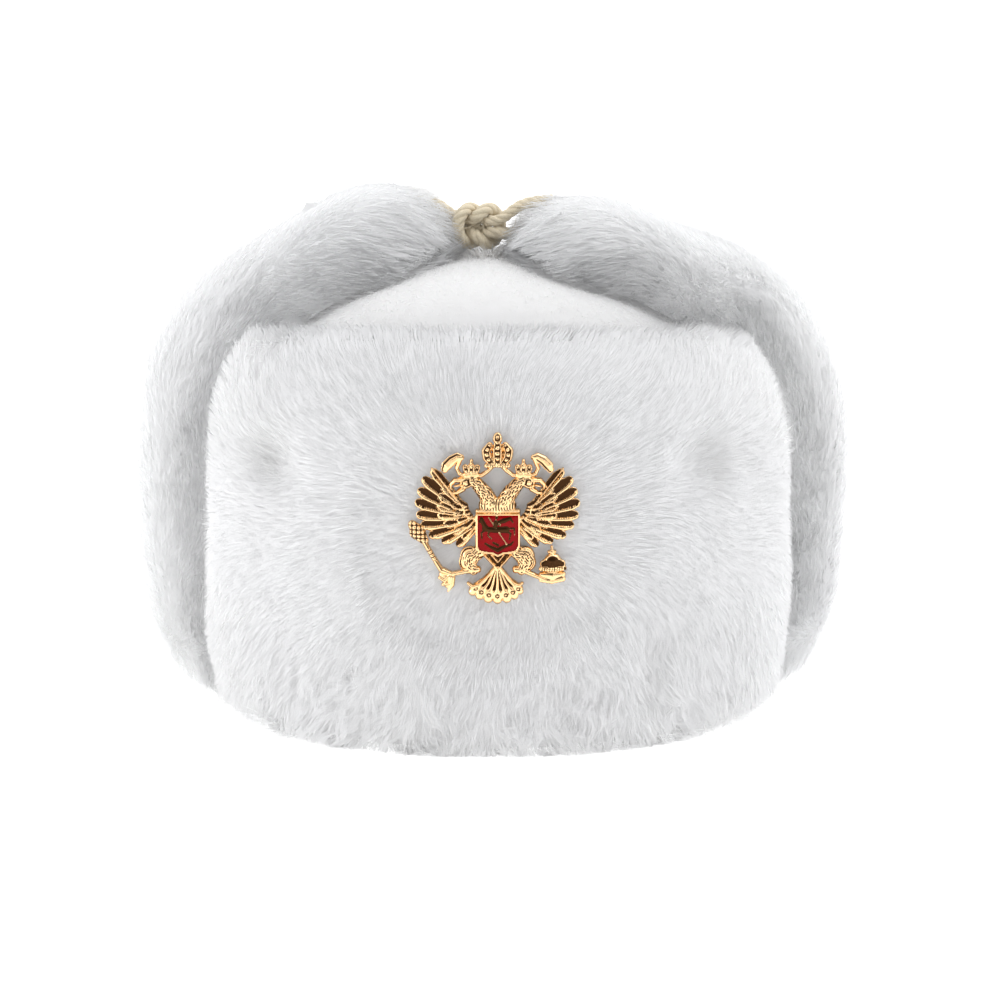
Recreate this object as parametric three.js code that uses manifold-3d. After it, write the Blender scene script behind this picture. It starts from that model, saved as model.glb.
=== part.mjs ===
// An ushanka: a white fur hat with its visor turned up in front and its ear flaps tied over the crown.
// Millimetres, +Z up. The wearer faces -Y, +X is at the right of the front view, and the fur rests on z = 0.
import * as THREE from "three";
import { mergeVertices } from "three/addons/utils/BufferGeometryUtils.js";
import Module from "manifold-3d";

const wasm = await Module();
wasm.setup();

// Driving dimensions
const HEAD = { width: 168, length: 208 }; // the opening, for a head of 60 cm round
const CENTRE = { x: 0.08, y: 0.6 }; // the middle of the finished hat, measured from the middle of the crown
const CROWN_WALL = 8; // plush, wadding and cloth
const CLEARANCE = 0.4; // between neighbouring pieces
const SEAT_DEPTH = 3; // how far a fur piece runs into the crown before its back is cut to fit
const RIDGE_SHARPNESS = 1.5; // how narrow the crown's ridge is, from front to back
const VISOR = { halfSpan: 70.5, turn: 4.5, topShare: 0.535, leftDrop: 0.14, rightDrop: 0.22 };
const EAR = { tongueHalfWidth: 41, softness: 8, tipRound: 27, sewnFrom: 0.93, freeFrom: 0.76, thinBack: 0.16 };
const EAR_GAP = { visor: 1.2, neck: 0.95 }; // degrees round the crown
const NECK = { halfSpan: 48, topShare: 0.5, thickSides: 0.13 };
const SEAM_FULLNESS = 0.8; // how little a fur piece thins where it is sewn to its neighbour
const BADGE = { x: 2.2, z: 85, bow: 150, standOff: 0.8, seatDepth: 2.6, seatRadius: 44, seatFade: 12 };
const CORD = { diameter: 3.7, sides: 8, knotX: -4.5, knotY: -6, knotZ: 173.4 };

// The crown's outline from rim to top. reach is the share of the rim's oval that a section keeps.
const CROWN_SECTIONS = [
  { reach: 1.0, ridgeHeight: 0, sideHeight: 0 },
  { reach: 1.02, ridgeHeight: 45, sideHeight: 45 },
  { reach: 1.01, ridgeHeight: 92, sideHeight: 90 },
  { reach: 0.96, ridgeHeight: 122, sideHeight: 117 },
  { reach: 0.86, ridgeHeight: 142, sideHeight: 134 },
  { reach: 0.66, ridgeHeight: 155, sideHeight: 148 },
  { reach: 0.36, ridgeHeight: 162, sideHeight: 158 },
  { reach: 0.0, ridgeHeight: 163, sideHeight: 163 },
];

// Cross-sections of the fur pieces, from the rim to the top edge. along is the share of the way up the
// crown, and outer is how far the fur's face stands off the crown.
const VISOR_PROFILE = [
  { along: 0.0, outer: 12 },
  { along: 0.012, outer: 19 },
  { along: 0.05, outer: 25.5 },
  { along: 0.15, outer: 29 },
  { along: 0.35, outer: 30.5 },
  { along: 0.6, outer: 30.5 },
  { along: 0.8, outer: 28.5 },
  { along: 0.92, outer: 24 },
  { along: 0.98, outer: 16 },
  { along: 1.0, outer: 5 },
];
const EAR_PROFILE = [
  { along: 0.0, outer: 10 },
  { along: 0.015, outer: 19 },
  { along: 0.05, outer: 29 },
  { along: 0.14, outer: 37.5 },
  { along: 0.3, outer: 41 },
  { along: 0.42, outer: 41 },
  { along: 0.53, outer: 38 },
  { along: 0.64, outer: 33 },
  { along: 0.76, outer: 30 },
  { along: 0.88, outer: 31.5 },
  { along: 0.96, outer: 28 },
  { along: 1.0, outer: 12 },
];

// How the two ear flaps differ: how far each tongue's end stays from the crown's middle, how far its
// middle line is drawn forward there, and how thick it is on top, as a share of the profile.
const EAR_FLAPS = [
  { name: "ear_flap_right", side: 1, tipReach: 10.5, forward: 13, topThickness: 0.88 },
  { name: "ear_flap_left", side: -1, tipReach: 16.5, forward: 3, topThickness: 1.03 },
];
const NECK_PROFILE = [
  { along: 0.0, outer: 14 },
  { along: 0.012, outer: 21 },
  { along: 0.05, outer: 27 },
  { along: 0.15, outer: 30 },
  { along: 0.4, outer: 31 },
  { along: 0.7, outer: 30 },
  { along: 0.9, outer: 26 },
  { along: 0.98, outer: 17 },
  { along: 1.0, outer: 6 },
];

// Hollows pressed into the visor: the two stitches that hold it up, and three smaller partings in the fur.
const VISOR_DENTS = [
  { x: -77, z: 100, radius: 9, depth: 6 },
  { x: 75, z: 100, radius: 10, depth: 6 },
  { x: 57, z: 38, radius: 6, depth: 2 },
  { x: 56, z: 29, radius: 5, depth: 2 },
  { x: 54, z: 20, radius: 5, depth: 2 },
];

const radians = THREE.MathUtils.degToRad;
const mix = THREE.MathUtils.lerp;
const smoothstep = (x, low, high) => THREE.MathUtils.smoothstep(x, low, high);

// A smooth curve through the rows of a table, column by column: 0 is its first row and 1 its last.
function alongTable(rows, share) {
  const place = THREE.MathUtils.clamp(share, 0, 1) * (rows.length - 1);
  const i = Math.min(Math.floor(place), rows.length - 2);
  const f = place - i;
  const row = {};
  for (const name of Object.keys(rows[0])) {
    const at = (k) => rows[THREE.MathUtils.clamp(k, 0, rows.length - 1)][name];
    const [a, b, c, d] = [at(i - 1), at(i), at(i + 1), at(i + 2)];
    const slopeIn = (c - a) / 2;
    const slopeOut = (d - b) / 2;
    const cubic = 2 * b - 2 * c + slopeIn + slopeOut;
    const square = 3 * (c - b) - 2 * slopeIn - slopeOut;
    row[name] = ((cubic * f + square) * f + slopeIn) * f + b;
  }
  return row;
}

// The section, as a share of the way from rim to top, where the crown's reach has shrunk to this.
function sectionAtReach(reach) {
  let [low, high] = [2 / (CROWN_SECTIONS.length - 1), 1];
  for (let step = 0; step < 24; step++) {
    const middle = (low + high) / 2;
    if (alongTable(CROWN_SECTIONS, middle).reach > reach) low = middle;
    else high = middle;
  }
  return (low + high) / 2;
}

const CROWN_HALF = { width: HEAD.width / 2 + CROWN_WALL, length: HEAD.length / 2 + CROWN_WALL };

// The crown's outer face: angle runs round it from +X through +Y, and section from rim to top.
function crownPoint(angle, section) {
  const { reach, ridgeHeight, sideHeight } = alongTable(CROWN_SECTIONS, section);
  const ridge = Math.abs(Math.sin(angle)) ** RIDGE_SHARPNESS;
  return new THREE.Vector3(
    CROWN_HALF.width * reach * Math.cos(angle),
    CROWN_HALF.length * reach * Math.sin(angle),
    mix(sideHeight, ridgeHeight, ridge),
  );
}

function crownNormal(angle, section) {
  const step = 1e-3;
  const round = crownPoint(angle + step, section).sub(crownPoint(angle - step, section));
  const up = crownPoint(angle, section + step).sub(crownPoint(angle, section - step));
  return round.cross(up).normalize();
}

// A point that stands off the crown's face by lift, and never lower than the surface the hat rests on.
function liftedPoint(angle, section, lift) {
  const point = crownPoint(angle, section).addScaledVector(crownNormal(angle, section), lift);
  point.z = Math.max(point.z, 0);
  return point;
}

// Geometry helpers

// Triangles that close a loop, which is nearly flat.
function capTriangles(loop) {
  const normal = new THREE.Vector3();
  loop.forEach((p, i) => normal.add(p.clone().cross(loop[(i + 1) % loop.length])));
  const turn = new THREE.Quaternion().setFromUnitVectors(normal.normalize(), new THREE.Vector3(0, 0, 1));
  const flat = loop.map((p) => {
    const q = p.clone().applyQuaternion(turn);
    return new THREE.Vector2(q.x, q.y);
  });
  return THREE.ShapeUtils.triangulateShape(flat, []);
}

// A closed body through closed loops that all have the same number of points, with its two ends capped.
function loftLoops(loops) {
  const count = loops[0].length;
  const last = (loops.length - 1) * count;
  const faces = [];
  for (let i = 0; i + 1 < loops.length; i++)
    for (let j = 0; j < count; j++) {
      const [a, b] = [i * count + j, i * count + ((j + 1) % count)];
      faces.push([a, b, b + count], [a, b + count, a + count]);
    }
  for (const [a, b, c] of capTriangles(loops[0])) faces.push([c, b, a]);
  for (const [a, b, c] of capTriangles(loops.at(-1))) faces.push([last + a, last + b, last + c]);
  const geometry = new THREE.BufferGeometry().setFromPoints(loops.flat());
  geometry.setIndex(faces.flat());
  return geometry;
}

// The geometry as a solid of manifold-3d, with its faces turned outwards.
function solidOf(geometry) {
  const bare = new THREE.BufferGeometry().setAttribute("position", geometry.getAttribute("position"));
  bare.setIndex(geometry.index);
  const merged = mergeVertices(bare, 1e-4);
  const vertProperties = merged.getAttribute("position").array;
  const triVerts = new Uint32Array(merged.index.array);
  const make = () => new wasm.Manifold(new wasm.Mesh({ numProp: 3, vertProperties, triVerts }));
  const solid = make();
  if (solid.volume() > 0) return solid;
  for (let i = 0; i < triVerts.length; i += 3)
    [triVerts[i + 1], triVerts[i + 2]] = [triVerts[i + 2], triVerts[i + 1]];
  return make();
}

function geometryOf(solid) {
  const { numProp, numVert, vertProperties, triVerts } = solid.getMesh();
  const positions = new Float32Array(numVert * 3);
  for (let i = 0; i < numVert; i++)
    positions.set(vertProperties.subarray(i * numProp, i * numProp + 3), i * 3);
  const geometry = new THREE.BufferGeometry();
  geometry.setAttribute("position", new THREE.BufferAttribute(positions, 3));
  geometry.setIndex(new THREE.BufferAttribute(triVerts, 1));
  const faceted = geometry.toNonIndexed();
  faceted.computeVertexNormals();
  return faceted;
}

const joined = (solids) => solids.reduce((whole, solid) => whole.add(solid));

// The largest body of a solid, without the slivers that joins and cuts can leave beside it.
const withoutSlivers = (solid) => solid.decompose().reduce((a, b) => (a.volume() > b.volume() ? a : b));

// Even steps from low to high, both ends included.
const steps = (count, low, high) =>
  Array.from({ length: count }, (_, i) => low + ((high - low) * i) / (count - 1));

// Crown: one hollow dome, open at the rim

const CROWN = { sides: 38, outerRows: 12, innerRows: 8, nearTop: 0.975 };
const CUT_BELOW = 5; // how far a cutter runs past the face it opens

function crownRing(section, lift) {
  return steps(CROWN.sides + 1, 0, 2 * Math.PI)
    .slice(0, CROWN.sides)
    .map((angle) => {
      const point = crownPoint(angle, section).addScaledVector(crownNormal(angle, section), lift);
      if (section === 0) point.z = 0;
      return point;
    });
}

function makeCrown() {
  const outside = steps(CROWN.outerRows, CROWN.nearTop, 0).map((section) => crownRing(section, 0));
  const inside = steps(CROWN.innerRows, 0, CROWN.nearTop).map((section) => crownRing(section, -CROWN_WALL));
  return solidOf(loftLoops([...outside, ...inside]));
}

// What is cut from the back of every fur piece: the crown filled in, and larger by the clearance.
function makeCrownCutter() {
  const outside = steps(CROWN.outerRows, CROWN.nearTop, 0).map((section) => crownRing(section, CLEARANCE));
  const below = outside.at(-1).map((point) => new THREE.Vector3(point.x, point.y, -CUT_BELOW));
  return solidOf(loftLoops([...outside, below]));
}

const crownCutter = makeCrownCutter();

// Fur pieces: pads that lie against the crown, thick in the middle and rounded at their free edges

// 1 in the middle and falling to 0 at both edges, as a stuffed edge does.
const puff = (across) => (1 - Math.min(Math.abs(across), 1) ** 6) ** 0.3;

// The fur lies in strips: neighbouring columns of a piece stand alternately high and low, most of all along
// its lower edge.
const STRIP = { relief: 0.5, lowerEdge: 1.6 };

function stripRelief(column, share) {
  const depth = mix(STRIP.lowerEdge, STRIP.relief, smoothstep(share, 0.1, 0.3)) * Math.sin(Math.PI * share) ** 0.5;
  return column % 2 ? depth : -depth;
}

// place gives the crown's angle and section for a place on the piece, edge how much of the thickness is
// left there, and shape changes the finished point of its face.
function makeFurPiece({ profile, place, edge, columns, outerRows, shape = (p) => p }) {
  const almost = 0.9999;
  const loops = steps(columns, -1, 1).map((step, column) => {
    const across = almost * Math.sin((step * Math.PI) / 2);
    const rows = steps(outerRows, 0, 1).map((share) => ({ share, ...alongTable(profile, share) }));
    const face = rows.map((row) => {
      const { angle, section } = place(across, row.along);
      const full = (row.outer + SEAT_DEPTH) * edge(across, row.along) - SEAT_DEPTH;
      const relief = stripRelief(column, row.share) * puff(across);
      return shape(liftedPoint(angle, section, full + relief), across);
    });
    const back = rows.reverse().map((row) => {
      const { angle, section } = place(across, row.along);
      return liftedPoint(angle, section, -SEAT_DEPTH);
    });
    return [...face, ...back];
  });
  return solidOf(loftLoops(loops)).subtract(crownCutter);
}

// How far the badge and its seat curve back from the front, at this distance from its middle.
const bowedBack = (x) => (x * x) / (2 * BADGE.bow);

// Presses the visor's fur in behind the badge and at its stitches.
function pressVisor(point, across, seatY) {
  const fromBadge = Math.hypot(point.x - BADGE.x, point.z - BADGE.z);
  const pressed = 1 - smoothstep(fromBadge, BADGE.seatRadius, BADGE.seatRadius + BADGE.seatFade);
  point.y = mix(point.y, Math.max(point.y, seatY + bowedBack(point.x - BADGE.x)), pressed);
  const outwards = new THREE.Vector3(point.x, point.y, 0).normalize();
  for (const { x, z, radius, depth } of VISOR_DENTS) {
    const away = Math.hypot(point.x - x, point.z - z) / radius;
    point.addScaledVector(outwards, -depth * puff(across) * Math.exp(-away * away));
  }
  return point;
}

function visorPlace(across, along) {
  const turned = across * VISOR.halfSpan + VISOR.turn * across * across;
  const corner = 1 - (1 - Math.abs(across) ** 5) ** 0.2;
  const drop = across < 0 ? VISOR.leftDrop : VISOR.rightDrop;
  const top = VISOR.topShare * (1 - drop * corner);
  return { angle: radians(turned - 90), section: along * top };
}

function makeVisor(seatY) {
  return makeFurPiece({
    profile: VISOR_PROFILE,
    place: visorPlace,
    edge: puff,
    columns: 31,
    outerRows: 13,
    shape: (point, across) => pressVisor(point, across, seatY),
  });
}

// An ear flap is a tongue: its edges follow the crown up from the rim, and it ends beside the crown's
// middle. across runs from its front edge to its rear edge.
function earPlace({ side, tipReach, forward }, across, along) {
  const frontAngle = radians(90 - VISOR.halfSpan - EAR_GAP.visor - side * VISOR.turn);
  const rearAngle = radians(90 - NECK.halfSpan - EAR_GAP.neck);
  const edgeAngle = across < 0 ? frontAngle : rearAngle;
  const rowY = (reach) => {
    const edge = CROWN_HALF.length * reach * Math.sin(edgeAngle);
    const difference = edge - EAR.tongueHalfWidth;
    const free = (edge + EAR.tongueHalfWidth + Math.hypot(difference, EAR.softness)) / 2;
    const sewn = smoothstep(reach, EAR.freeFrom, EAR.sewnFrom);
    return across * mix(free, edge, sewn) - forward * (1 - smoothstep(reach, 0.5, EAR.sewnFrom));
  };
  const tipX = tipReach + EAR.tipRound * (1 - (1 - across ** 2) ** 0.45);
  const endReach = Math.hypot(tipX / CROWN_HALF.width, rowY(0) / CROWN_HALF.length);
  const section = along * sectionAtReach(endReach);
  const { reach } = alongTable(CROWN_SECTIONS, section);
  const angle = Math.asin(THREE.MathUtils.clamp(rowY(reach) / (CROWN_HALF.length * reach), -1, 1));
  return { angle: side > 0 ? angle : Math.PI - angle, section };
}

// The rear edge is sewn to the neck flap as far up as that reaches, so it is free only above it.
function earEdge(across, along, topThickness) {
  const sewn = across > 0 ? SEAM_FULLNESS * (1 - smoothstep(along, 0.5, 0.66)) : 0;
  const top = mix(1, topThickness, smoothstep(along, 0.6, 0.88));
  return top * mix(puff(across), 1, sewn) * (1 - EAR.thinBack * smoothstep(across, 0.3, 1));
}

function makeEarFlap(flap) {
  return makeFurPiece({
    profile: EAR_PROFILE,
    place: (across, along) => earPlace(flap, across, along),
    edge: (across, along) => earEdge(across, along, flap.topThickness),
    columns: 21,
    outerRows: 15,
  });
}

function makeNeckFlap() {
  return makeFurPiece({
    profile: NECK_PROFILE,
    place: (across, along) => ({
      angle: radians(90 + across * NECK.halfSpan),
      section: along * NECK.topShare,
    }),
    edge: (across) => (1 + NECK.thickSides * across * across) * mix(puff(across), 1, SEAM_FULLNESS),
    columns: 24,
    outerRows: 11,
  });
}

// Tie: the cords of both flaps in one reef knot

// One cord's way through the knot in cord diameters: x from the knot's middle towards the far flap, up,
// and forward, out of the knot's face. The other cord is the same one turned round.
const CORD_ROUTE = [
  { x: -7.4, up: 2.75, forward: -0.9 },
  { x: -5.4, up: 2.5, forward: -0.9 },
  { x: -4.1, up: 2.1, forward: -0.85 },
  { x: -3.1, up: 1.4, forward: -0.8 },
  { x: -2.1, up: 0.72, forward: -0.7 },
  { x: -1.26, up: 0.58, forward: -0.6 },
  { x: -0.67, up: 0.66, forward: 0.06 },
  { x: 0, up: 1.18, forward: 0.72 },
  { x: 0.76, up: 1.76, forward: 0.36 },
  { x: 1.51, up: 1.5, forward: -0.48 },
  { x: 1.97, up: 0.78, forward: -0.74 },
  { x: 2.1, up: 0, forward: -0.78 },
  { x: 1.97, up: -0.78, forward: -0.74 },
  { x: 1.51, up: -1.5, forward: -0.48 },
  { x: 0.76, up: -1.76, forward: 0.36 },
  { x: 0, up: -1.18, forward: 0.72 },
  { x: -0.67, up: -0.66, forward: 0.06 },
  { x: -1.26, up: -0.58, forward: -0.6 },
  { x: -2.1, up: -0.6, forward: -0.7 },
  { x: -2.9, up: -0.72, forward: -0.6 },
];

function cordCurve(side, longer) {
  const points = CORD_ROUTE.map(
    ({ x, up, forward }) =>
      new THREE.Vector3(
        CORD.knotX - side * x * CORD.diameter,
        CORD.knotY + side * forward * CORD.diameter,
        CORD.knotZ + up * CORD.diameter,
      ),
  );
  points[0].x += side * longer;
  return new THREE.CatmullRomCurve3(points);
}

function makeCord(side, grow) {
  const section = new THREE.Shape();
  section.absarc(0, 0, CORD.diameter / 2 + grow, 0, 2 * Math.PI);
  const extrudePath = cordCurve(side, grow);
  const options = { curveSegments: CORD.sides / 2, steps: 38, extrudePath, bevelEnabled: false };
  return solidOf(new THREE.ExtrudeGeometry(section, options));
}

// Badge: a cast eagle with two heads, pierced right through between its parts. It is drawn on a grid, across
// and up from the middle of the wings, and high is in millimetres out from its back.
const GRID = 0.435;
const CAST = { edge: 1.1, field: 1.9, frame: 3.2, enamel: 2.9, rim: 0.75, gap: 0.33 };
const POST = { radius: 1.5, length: 9, sides: 10, drop: 4 }; // the plain post that holds the badge, hidden

// Flight feathers of one wing from the top edge round to the body, each from its root to its tip.
const WING_FEATHERS = [
  { rootX: 26, rootY: 9, tipX: 51, tipY: 38 },
  { rootX: 27, rootY: 7, tipX: 58, tipY: 30.5 },
  { rootX: 28, rootY: 5, tipX: 62, tipY: 21 },
  { rootX: 28, rootY: 3, tipX: 64, tipY: 11.5 },
  { rootX: 27, rootY: 0.5, tipX: 63, tipY: 1.5 },
  { rootX: 25, rootY: -2, tipX: 59.5, tipY: -7 },
  { rootX: 22, rootY: -4, tipX: 53.5, tipY: -15 },
  { rootX: 20, rootY: -6, tipX: 42, tipY: -19 },
  { rootX: 16, rootY: -6.5, tipX: 29, tipY: -21.5 },
];
const TAIL_TIPS = [
  { x: -21, y: -60.5 },
  { x: -14.5, y: -64 },
  { x: -7.5, y: -66 },
  { x: 0, y: -66.5 },
  { x: 7.5, y: -66 },
  { x: 14, y: -63.5 },
  { x: 18.5, y: -59.5 },
];

// The rest of the eagle as strips with a raised middle: x, y, half width and height at each place. crest is
// the share of the width that stays flat on top. The first list is built on both sides.
const STRIPS_BOTH_SIDES = [
  { crest: 0, path: [[17, 0, 1.6, 2.6], [23, 1, 1.4, 2.7], [27, 5, 1.3, 2.7], [26, 9, 1.3, 2.7], [52, 39, 0.9, 1.9]] },
  { crest: 0.5, path: [[5, 13, 6.5, 3.6], [11, 22, 5.6, 3.6], [17, 29, 4.6, 3.2], [21.5, 31, 3.6, 2.8]] },
  { crest: 0.4, path: [[21, 30, 3.4, 2.8], [27, 28, 4.4, 3.1], [34, 31, 1.3, 2]] },
  { crest: 0.4, path: [[26, 26, 3, 2.7], [32, 21.8, 1.2, 2]] },
  { crest: 0.3, path: [[20.5, 34, 4.2, 2.4], [20.5, 41, 5.4, 2.7], [20.5, 45, 0.8, 1.8]] },
  { crest: 0, path: [[4, 42, 1.7, 2.3], [11.5, 35, 1.6, 2.2], [22, 33.8, 1.4, 2], [29.5, 35.7, 1.4, 2],
    [32, 41, 1.6, 2], [29, 48, 1.9, 2.1]] },
  { crest: 0.6, path: [[28.5, 47.5, 2.6, 2.2], [36.5, 46.5, 3.2, 2], [42, 40.5, 2.9, 1.8], [40, 36, 1, 1.5]] },
  { crest: 0.4, path: [[4.5, 43, 3.2, 2.8], [8.6, 53, 4.4, 3.1], [6, 59, 2.6, 2.4]] },
  { crest: 0.3, path: [[14, -27, 5, 2.6], [21.5, -31.5, 8, 3.3], [17.5, -41, 4.2, 2.8]] },
];
const STRIPS = [
  { crest: 0.7, path: [[0, 18, 12, 3], [0.3, 4.5, 15.5, 3.4]] },
  { crest: 0.4, path: [[-8.5, 42.8, 1.8, 2.8], [8.5, 42.8, 1.8, 2.8]] },
  { crest: 0.4, path: [[0, 43, 3, 2.9], [0, 53, 4.5, 3.5], [0, 61, 2.8, 2.6]] },
  { crest: 0.5, path: [[0, 60, 1.6, 2.4], [0, 63.5, 3, 3], [0, 67.2, 1.6, 2.2]] },
  { crest: 0, path: [[-4.5, -29, 1.3, 2.3], [0.3, -35.5, 1.3, 2.3], [5, -29, 1.3, 2.3]] },
  { crest: 0, path: [[-2.5, -39, 1.6, 2.4], [-12, -50, 1.7, 2.4], [-18.5, -54.5, 1.8, 2.5], [-23, -52, 1.1, 2]] },
  { crest: 0, path: [[2.5, -39, 1.6, 2.4], [10, -48.5, 1.7, 2.4], [15, -53.5, 1.8, 2.5], [18.8, -52, 1.1, 2]] },
  // the foot at the left and the sceptre in it
  { crest: 0, path: [[-16, -41, 2.8, 2.6], [-27, -43.3, 2, 2.3], [-37, -45.3, 1.7, 2.2], [-43, -42.5, 2.4, 2.6]] },
  { crest: 0.3, path: [[-60, -18, 1.5, 2.2], [-51, -31, 2, 2.4], [-44, -42, 2.2, 2.6], [-39.5, -49, 5.4, 2.3], [-39, -57, 1, 1.5]] },
  { crest: 0.5, path: [[-58, -18, 3.6, 2.4], [-63.5, -11, 6.8, 3.1], [-67.5, -6, 4, 2.2]] },
  // the foot at the right and the orb in it
  { crest: 0, path: [[14, -41, 3, 2.6], [24, -43.3, 2.1, 2.3], [32, -47.3, 1.9, 2.2], [40, -49.5, 1.8, 2.2]] },
  { crest: 0.4, path: [[35, -48.5, 1.6, 2.2], [52, -47.5, 2.6, 2.4]] },
  { crest: 0.5, path: [[34.5, -39, 4, 1.8], [38, -38.8, 8.2, 2.9], [43.5, -38.5, 9.8, 3.6], [49, -38.8, 8.2, 2.9],
    [52.5, -39, 4, 1.8]] },
  { crest: 0, path: [[34, -40.5, 1.1, 2.6], [43.5, -41.2, 1.2, 4], [53, -40.5, 1.1, 2.6]] },
  { crest: 0.4, path: [[42.8, -31, 2, 2.4], [42.8, -23, 1.4, 2]] },
];
// The outer of the two chevrons below the shield, and how low the plate between them is.
const CHEVRON = { crest: 0, path: [[-10.5, -29, 1.5, 2.6], [0.3, -40.5, 1.5, 2.6], [10.5, -29, 1.5, 2.6]] };
const CHEVRON_PLATE = 1.6;
// The rider, the horse, the lance and the serpent, raised from the floor of the shield.
const RIDER_STRIPS = [
  { crest: 0, path: [[-6.5, 0.5, 0.6, 3.4], [7, -19.5, 0.6, 3.4]] },
  { crest: 0, path: [[-10, -7, 2.8, 3.3], [7.5, -8, 2.8, 3.5]] },
  { crest: 0, path: [[-9, -7.5, 2, 3.4], [-11, 0, 1.4, 3.2]] },
  { crest: 0, path: [[-1.5, -7, 2, 3.6], [-1, 0.5, 1.3, 3.6]] },
  { crest: 0, path: [[0.5, -3, 1.6, 3.2], [9.5, -0.5, 2.4, 3.2]] },
  { crest: 0, path: [[-10, -8, 1.3, 3.2], [-12.5, -15.5, 0.8, 3.2]] },
  { crest: 0, path: [[7, -8, 1.6, 3.2], [11, -14.5, 0.8, 3.2]] },
  { crest: 0, path: [[-8.5, -20, 1.2, 3.2], [0.3, -23.2, 1.7, 3.3], [10, -19, 1.2, 3.2]] },
];
const SHIELD_OUTLINE = [
  [-17.5, 4.7], [-17.5, -22], [-15.5, -26.3], [-10, -27.8], [-4, -28.3], [0.3, -30.5],
  [4.5, -28.3], [10.5, -27.8], [16, -26.3], [18, -22], [18, 4.7],
];

// One strip: the hulls of its neighbouring cross-sections, joined. low is where its underside lies, and
// grow widens and lengthens it.
function makeStrip({ crest, path }, mirror = 1, low = 0, grow = 0) {
  const sections = path.map(([x, y, halfWidth, high], i) => {
    const before = path[Math.max(i - 1, 0)];
    const after = path[Math.min(i + 1, path.length - 1)];
    const along = new THREE.Vector2(after[0] - before[0], after[1] - before[1]).normalize();
    const edge = Math.max(CAST.edge, low + CAST.gap);
    const atEnd = Number(after === path[i]) - Number(before === path[i]);
    const ahead = (atEnd * grow) / GRID;
    const at = (share, height) => {
      const offset = share * (halfWidth + grow / GRID);
      const [acrossX, upY] = [x + along.x * ahead - along.y * offset, y + along.y * ahead + along.x * offset];
      return [mirror * acrossX * GRID, upY * GRID, height + grow];
    };
    const base = [-1, 1].flatMap((share) => [at(share, low - 2 * grow), at(share, edge)]);
    return [...base, at(-crest, high), at(crest, high)];
  });
  return joined(sections.slice(1).map((section, i) => wasm.Manifold.hull([...sections[i], ...section])));
}

function makeFeather({ rootX, rootY, tipX, tipY }, side, reach, rise) {
  const at = (share) => [mix(rootX, tipX, share * reach), mix(rootY, tipY, share * reach)];
  const path = [[...at(0), 2, 1.8 + rise], [...at(0.82), 4.2, 2 + rise], [...at(1), 1.8, 1.3 + rise]];
  return wasm.Manifold.hull([makeStrip({ crest: 0, path }, side)]);
}

function shieldPlate(inset, low, high) {
  const outline = new wasm.CrossSection([SHIELD_OUTLINE.map(([x, y]) => [x * GRID, y * GRID])]);
  return outline.offset(-inset, "Miter").extrude(high - low).translate([0, 0, low]);
}

// Stands a piece of the badge up against the visor, facing forward and bowed to its curve.
function placed(solid, y) {
  const bowed = solid.rotate([90, 0, 0]).warp((point) => {
    point[1] += bowedBack(point[0]);
  });
  return bowed.translate([BADGE.x, y, BADGE.z]);
}

const postCylinder = (length, grow) =>
  wasm.Manifold.cylinder(length, POST.radius + grow, POST.radius + grow, POST.sides).translate([0, -POST.drop, 0]);

function makeBadge(y) {
  const feathers = [-1, 1].flatMap((side) =>
    WING_FEATHERS.flatMap((feather, i) => [
      makeFeather(feather, side, 1, 0),
      ...(i % 2 ? [makeFeather(feather, side, 0.48, 0.7)] : []), // the shorter ones that lie over them
    ]),
  );
  const tail = TAIL_TIPS.map(({ x, y: tipY }) => {
    const path = [[x * 0.08, -38, 1, 2], [x * 0.85, tipY * 0.9, 3.7, 2.2], [x, tipY, 2.2, 1.5]];
    return wasm.Manifold.hull([makeStrip({ crest: 0, path })]);
  });
  const body = [
    ...STRIPS_BOTH_SIDES.flatMap((strip) => [makeStrip(strip, -1), makeStrip(strip, 1)]),
    ...[...STRIPS, CHEVRON].map((strip) => makeStrip(strip)),
    wasm.Manifold.hull([makeStrip(CHEVRON)]).trimByPlane([0, 0, -1], -CHEVRON_PLATE),
  ];
  const shield = shieldPlate(0, 0, CAST.frame);
  const field = shieldPlate(CAST.rim, CAST.field, CAST.frame + CUT_BELOW);
  const rider = RIDER_STRIPS.map((strip) => makeStrip(strip, 1, CAST.field - CAST.gap));
  const post = postCylinder(POST.length + CAST.edge / 2, 0).translate([0, 0, -POST.length]);
  const cast = joined([...feathers, ...tail, ...body, shield]).subtract(field);
  return placed(withoutSlivers(joined([cast, ...rider, post]).simplify(0.15)), y);
}

// The enamel round the rider, let into the shield.
function makeShield(y) {
  const plate = shieldPlate(CAST.rim + CAST.gap, CAST.field + CAST.gap, CAST.enamel);
  const rider = joined(RIDER_STRIPS.map((strip) => makeStrip(strip, 1, CAST.field, CAST.gap)));
  return placed(withoutSlivers(plate.subtract(rider)), y);
}

// Colours, and the nine pieces
const WHITE_FUR = { color: 0xf0f0f1, roughness: 0.95, metalness: 0 };
const PLUSH = { color: 0xf2f2f2, roughness: 0.9, metalness: 0 };
const GOLD = { color: 0xe0b066, roughness: 0.25, metalness: 1 };
const ENAMEL = { color: 0x9c0f14, roughness: 0.2, metalness: 0 };
const COTTON = { color: 0xe9dfc4, roughness: 0.85, metalness: 0 };

function addPiece(group, name, solid, material) {
  const centred = solid.translate([-CENTRE.x, -CENTRE.y, 0]);
  const mesh = new THREE.Mesh(geometryOf(centred), new THREE.MeshStandardMaterial(material));
  mesh.name = name;
  group.add(mesh);
}

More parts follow.
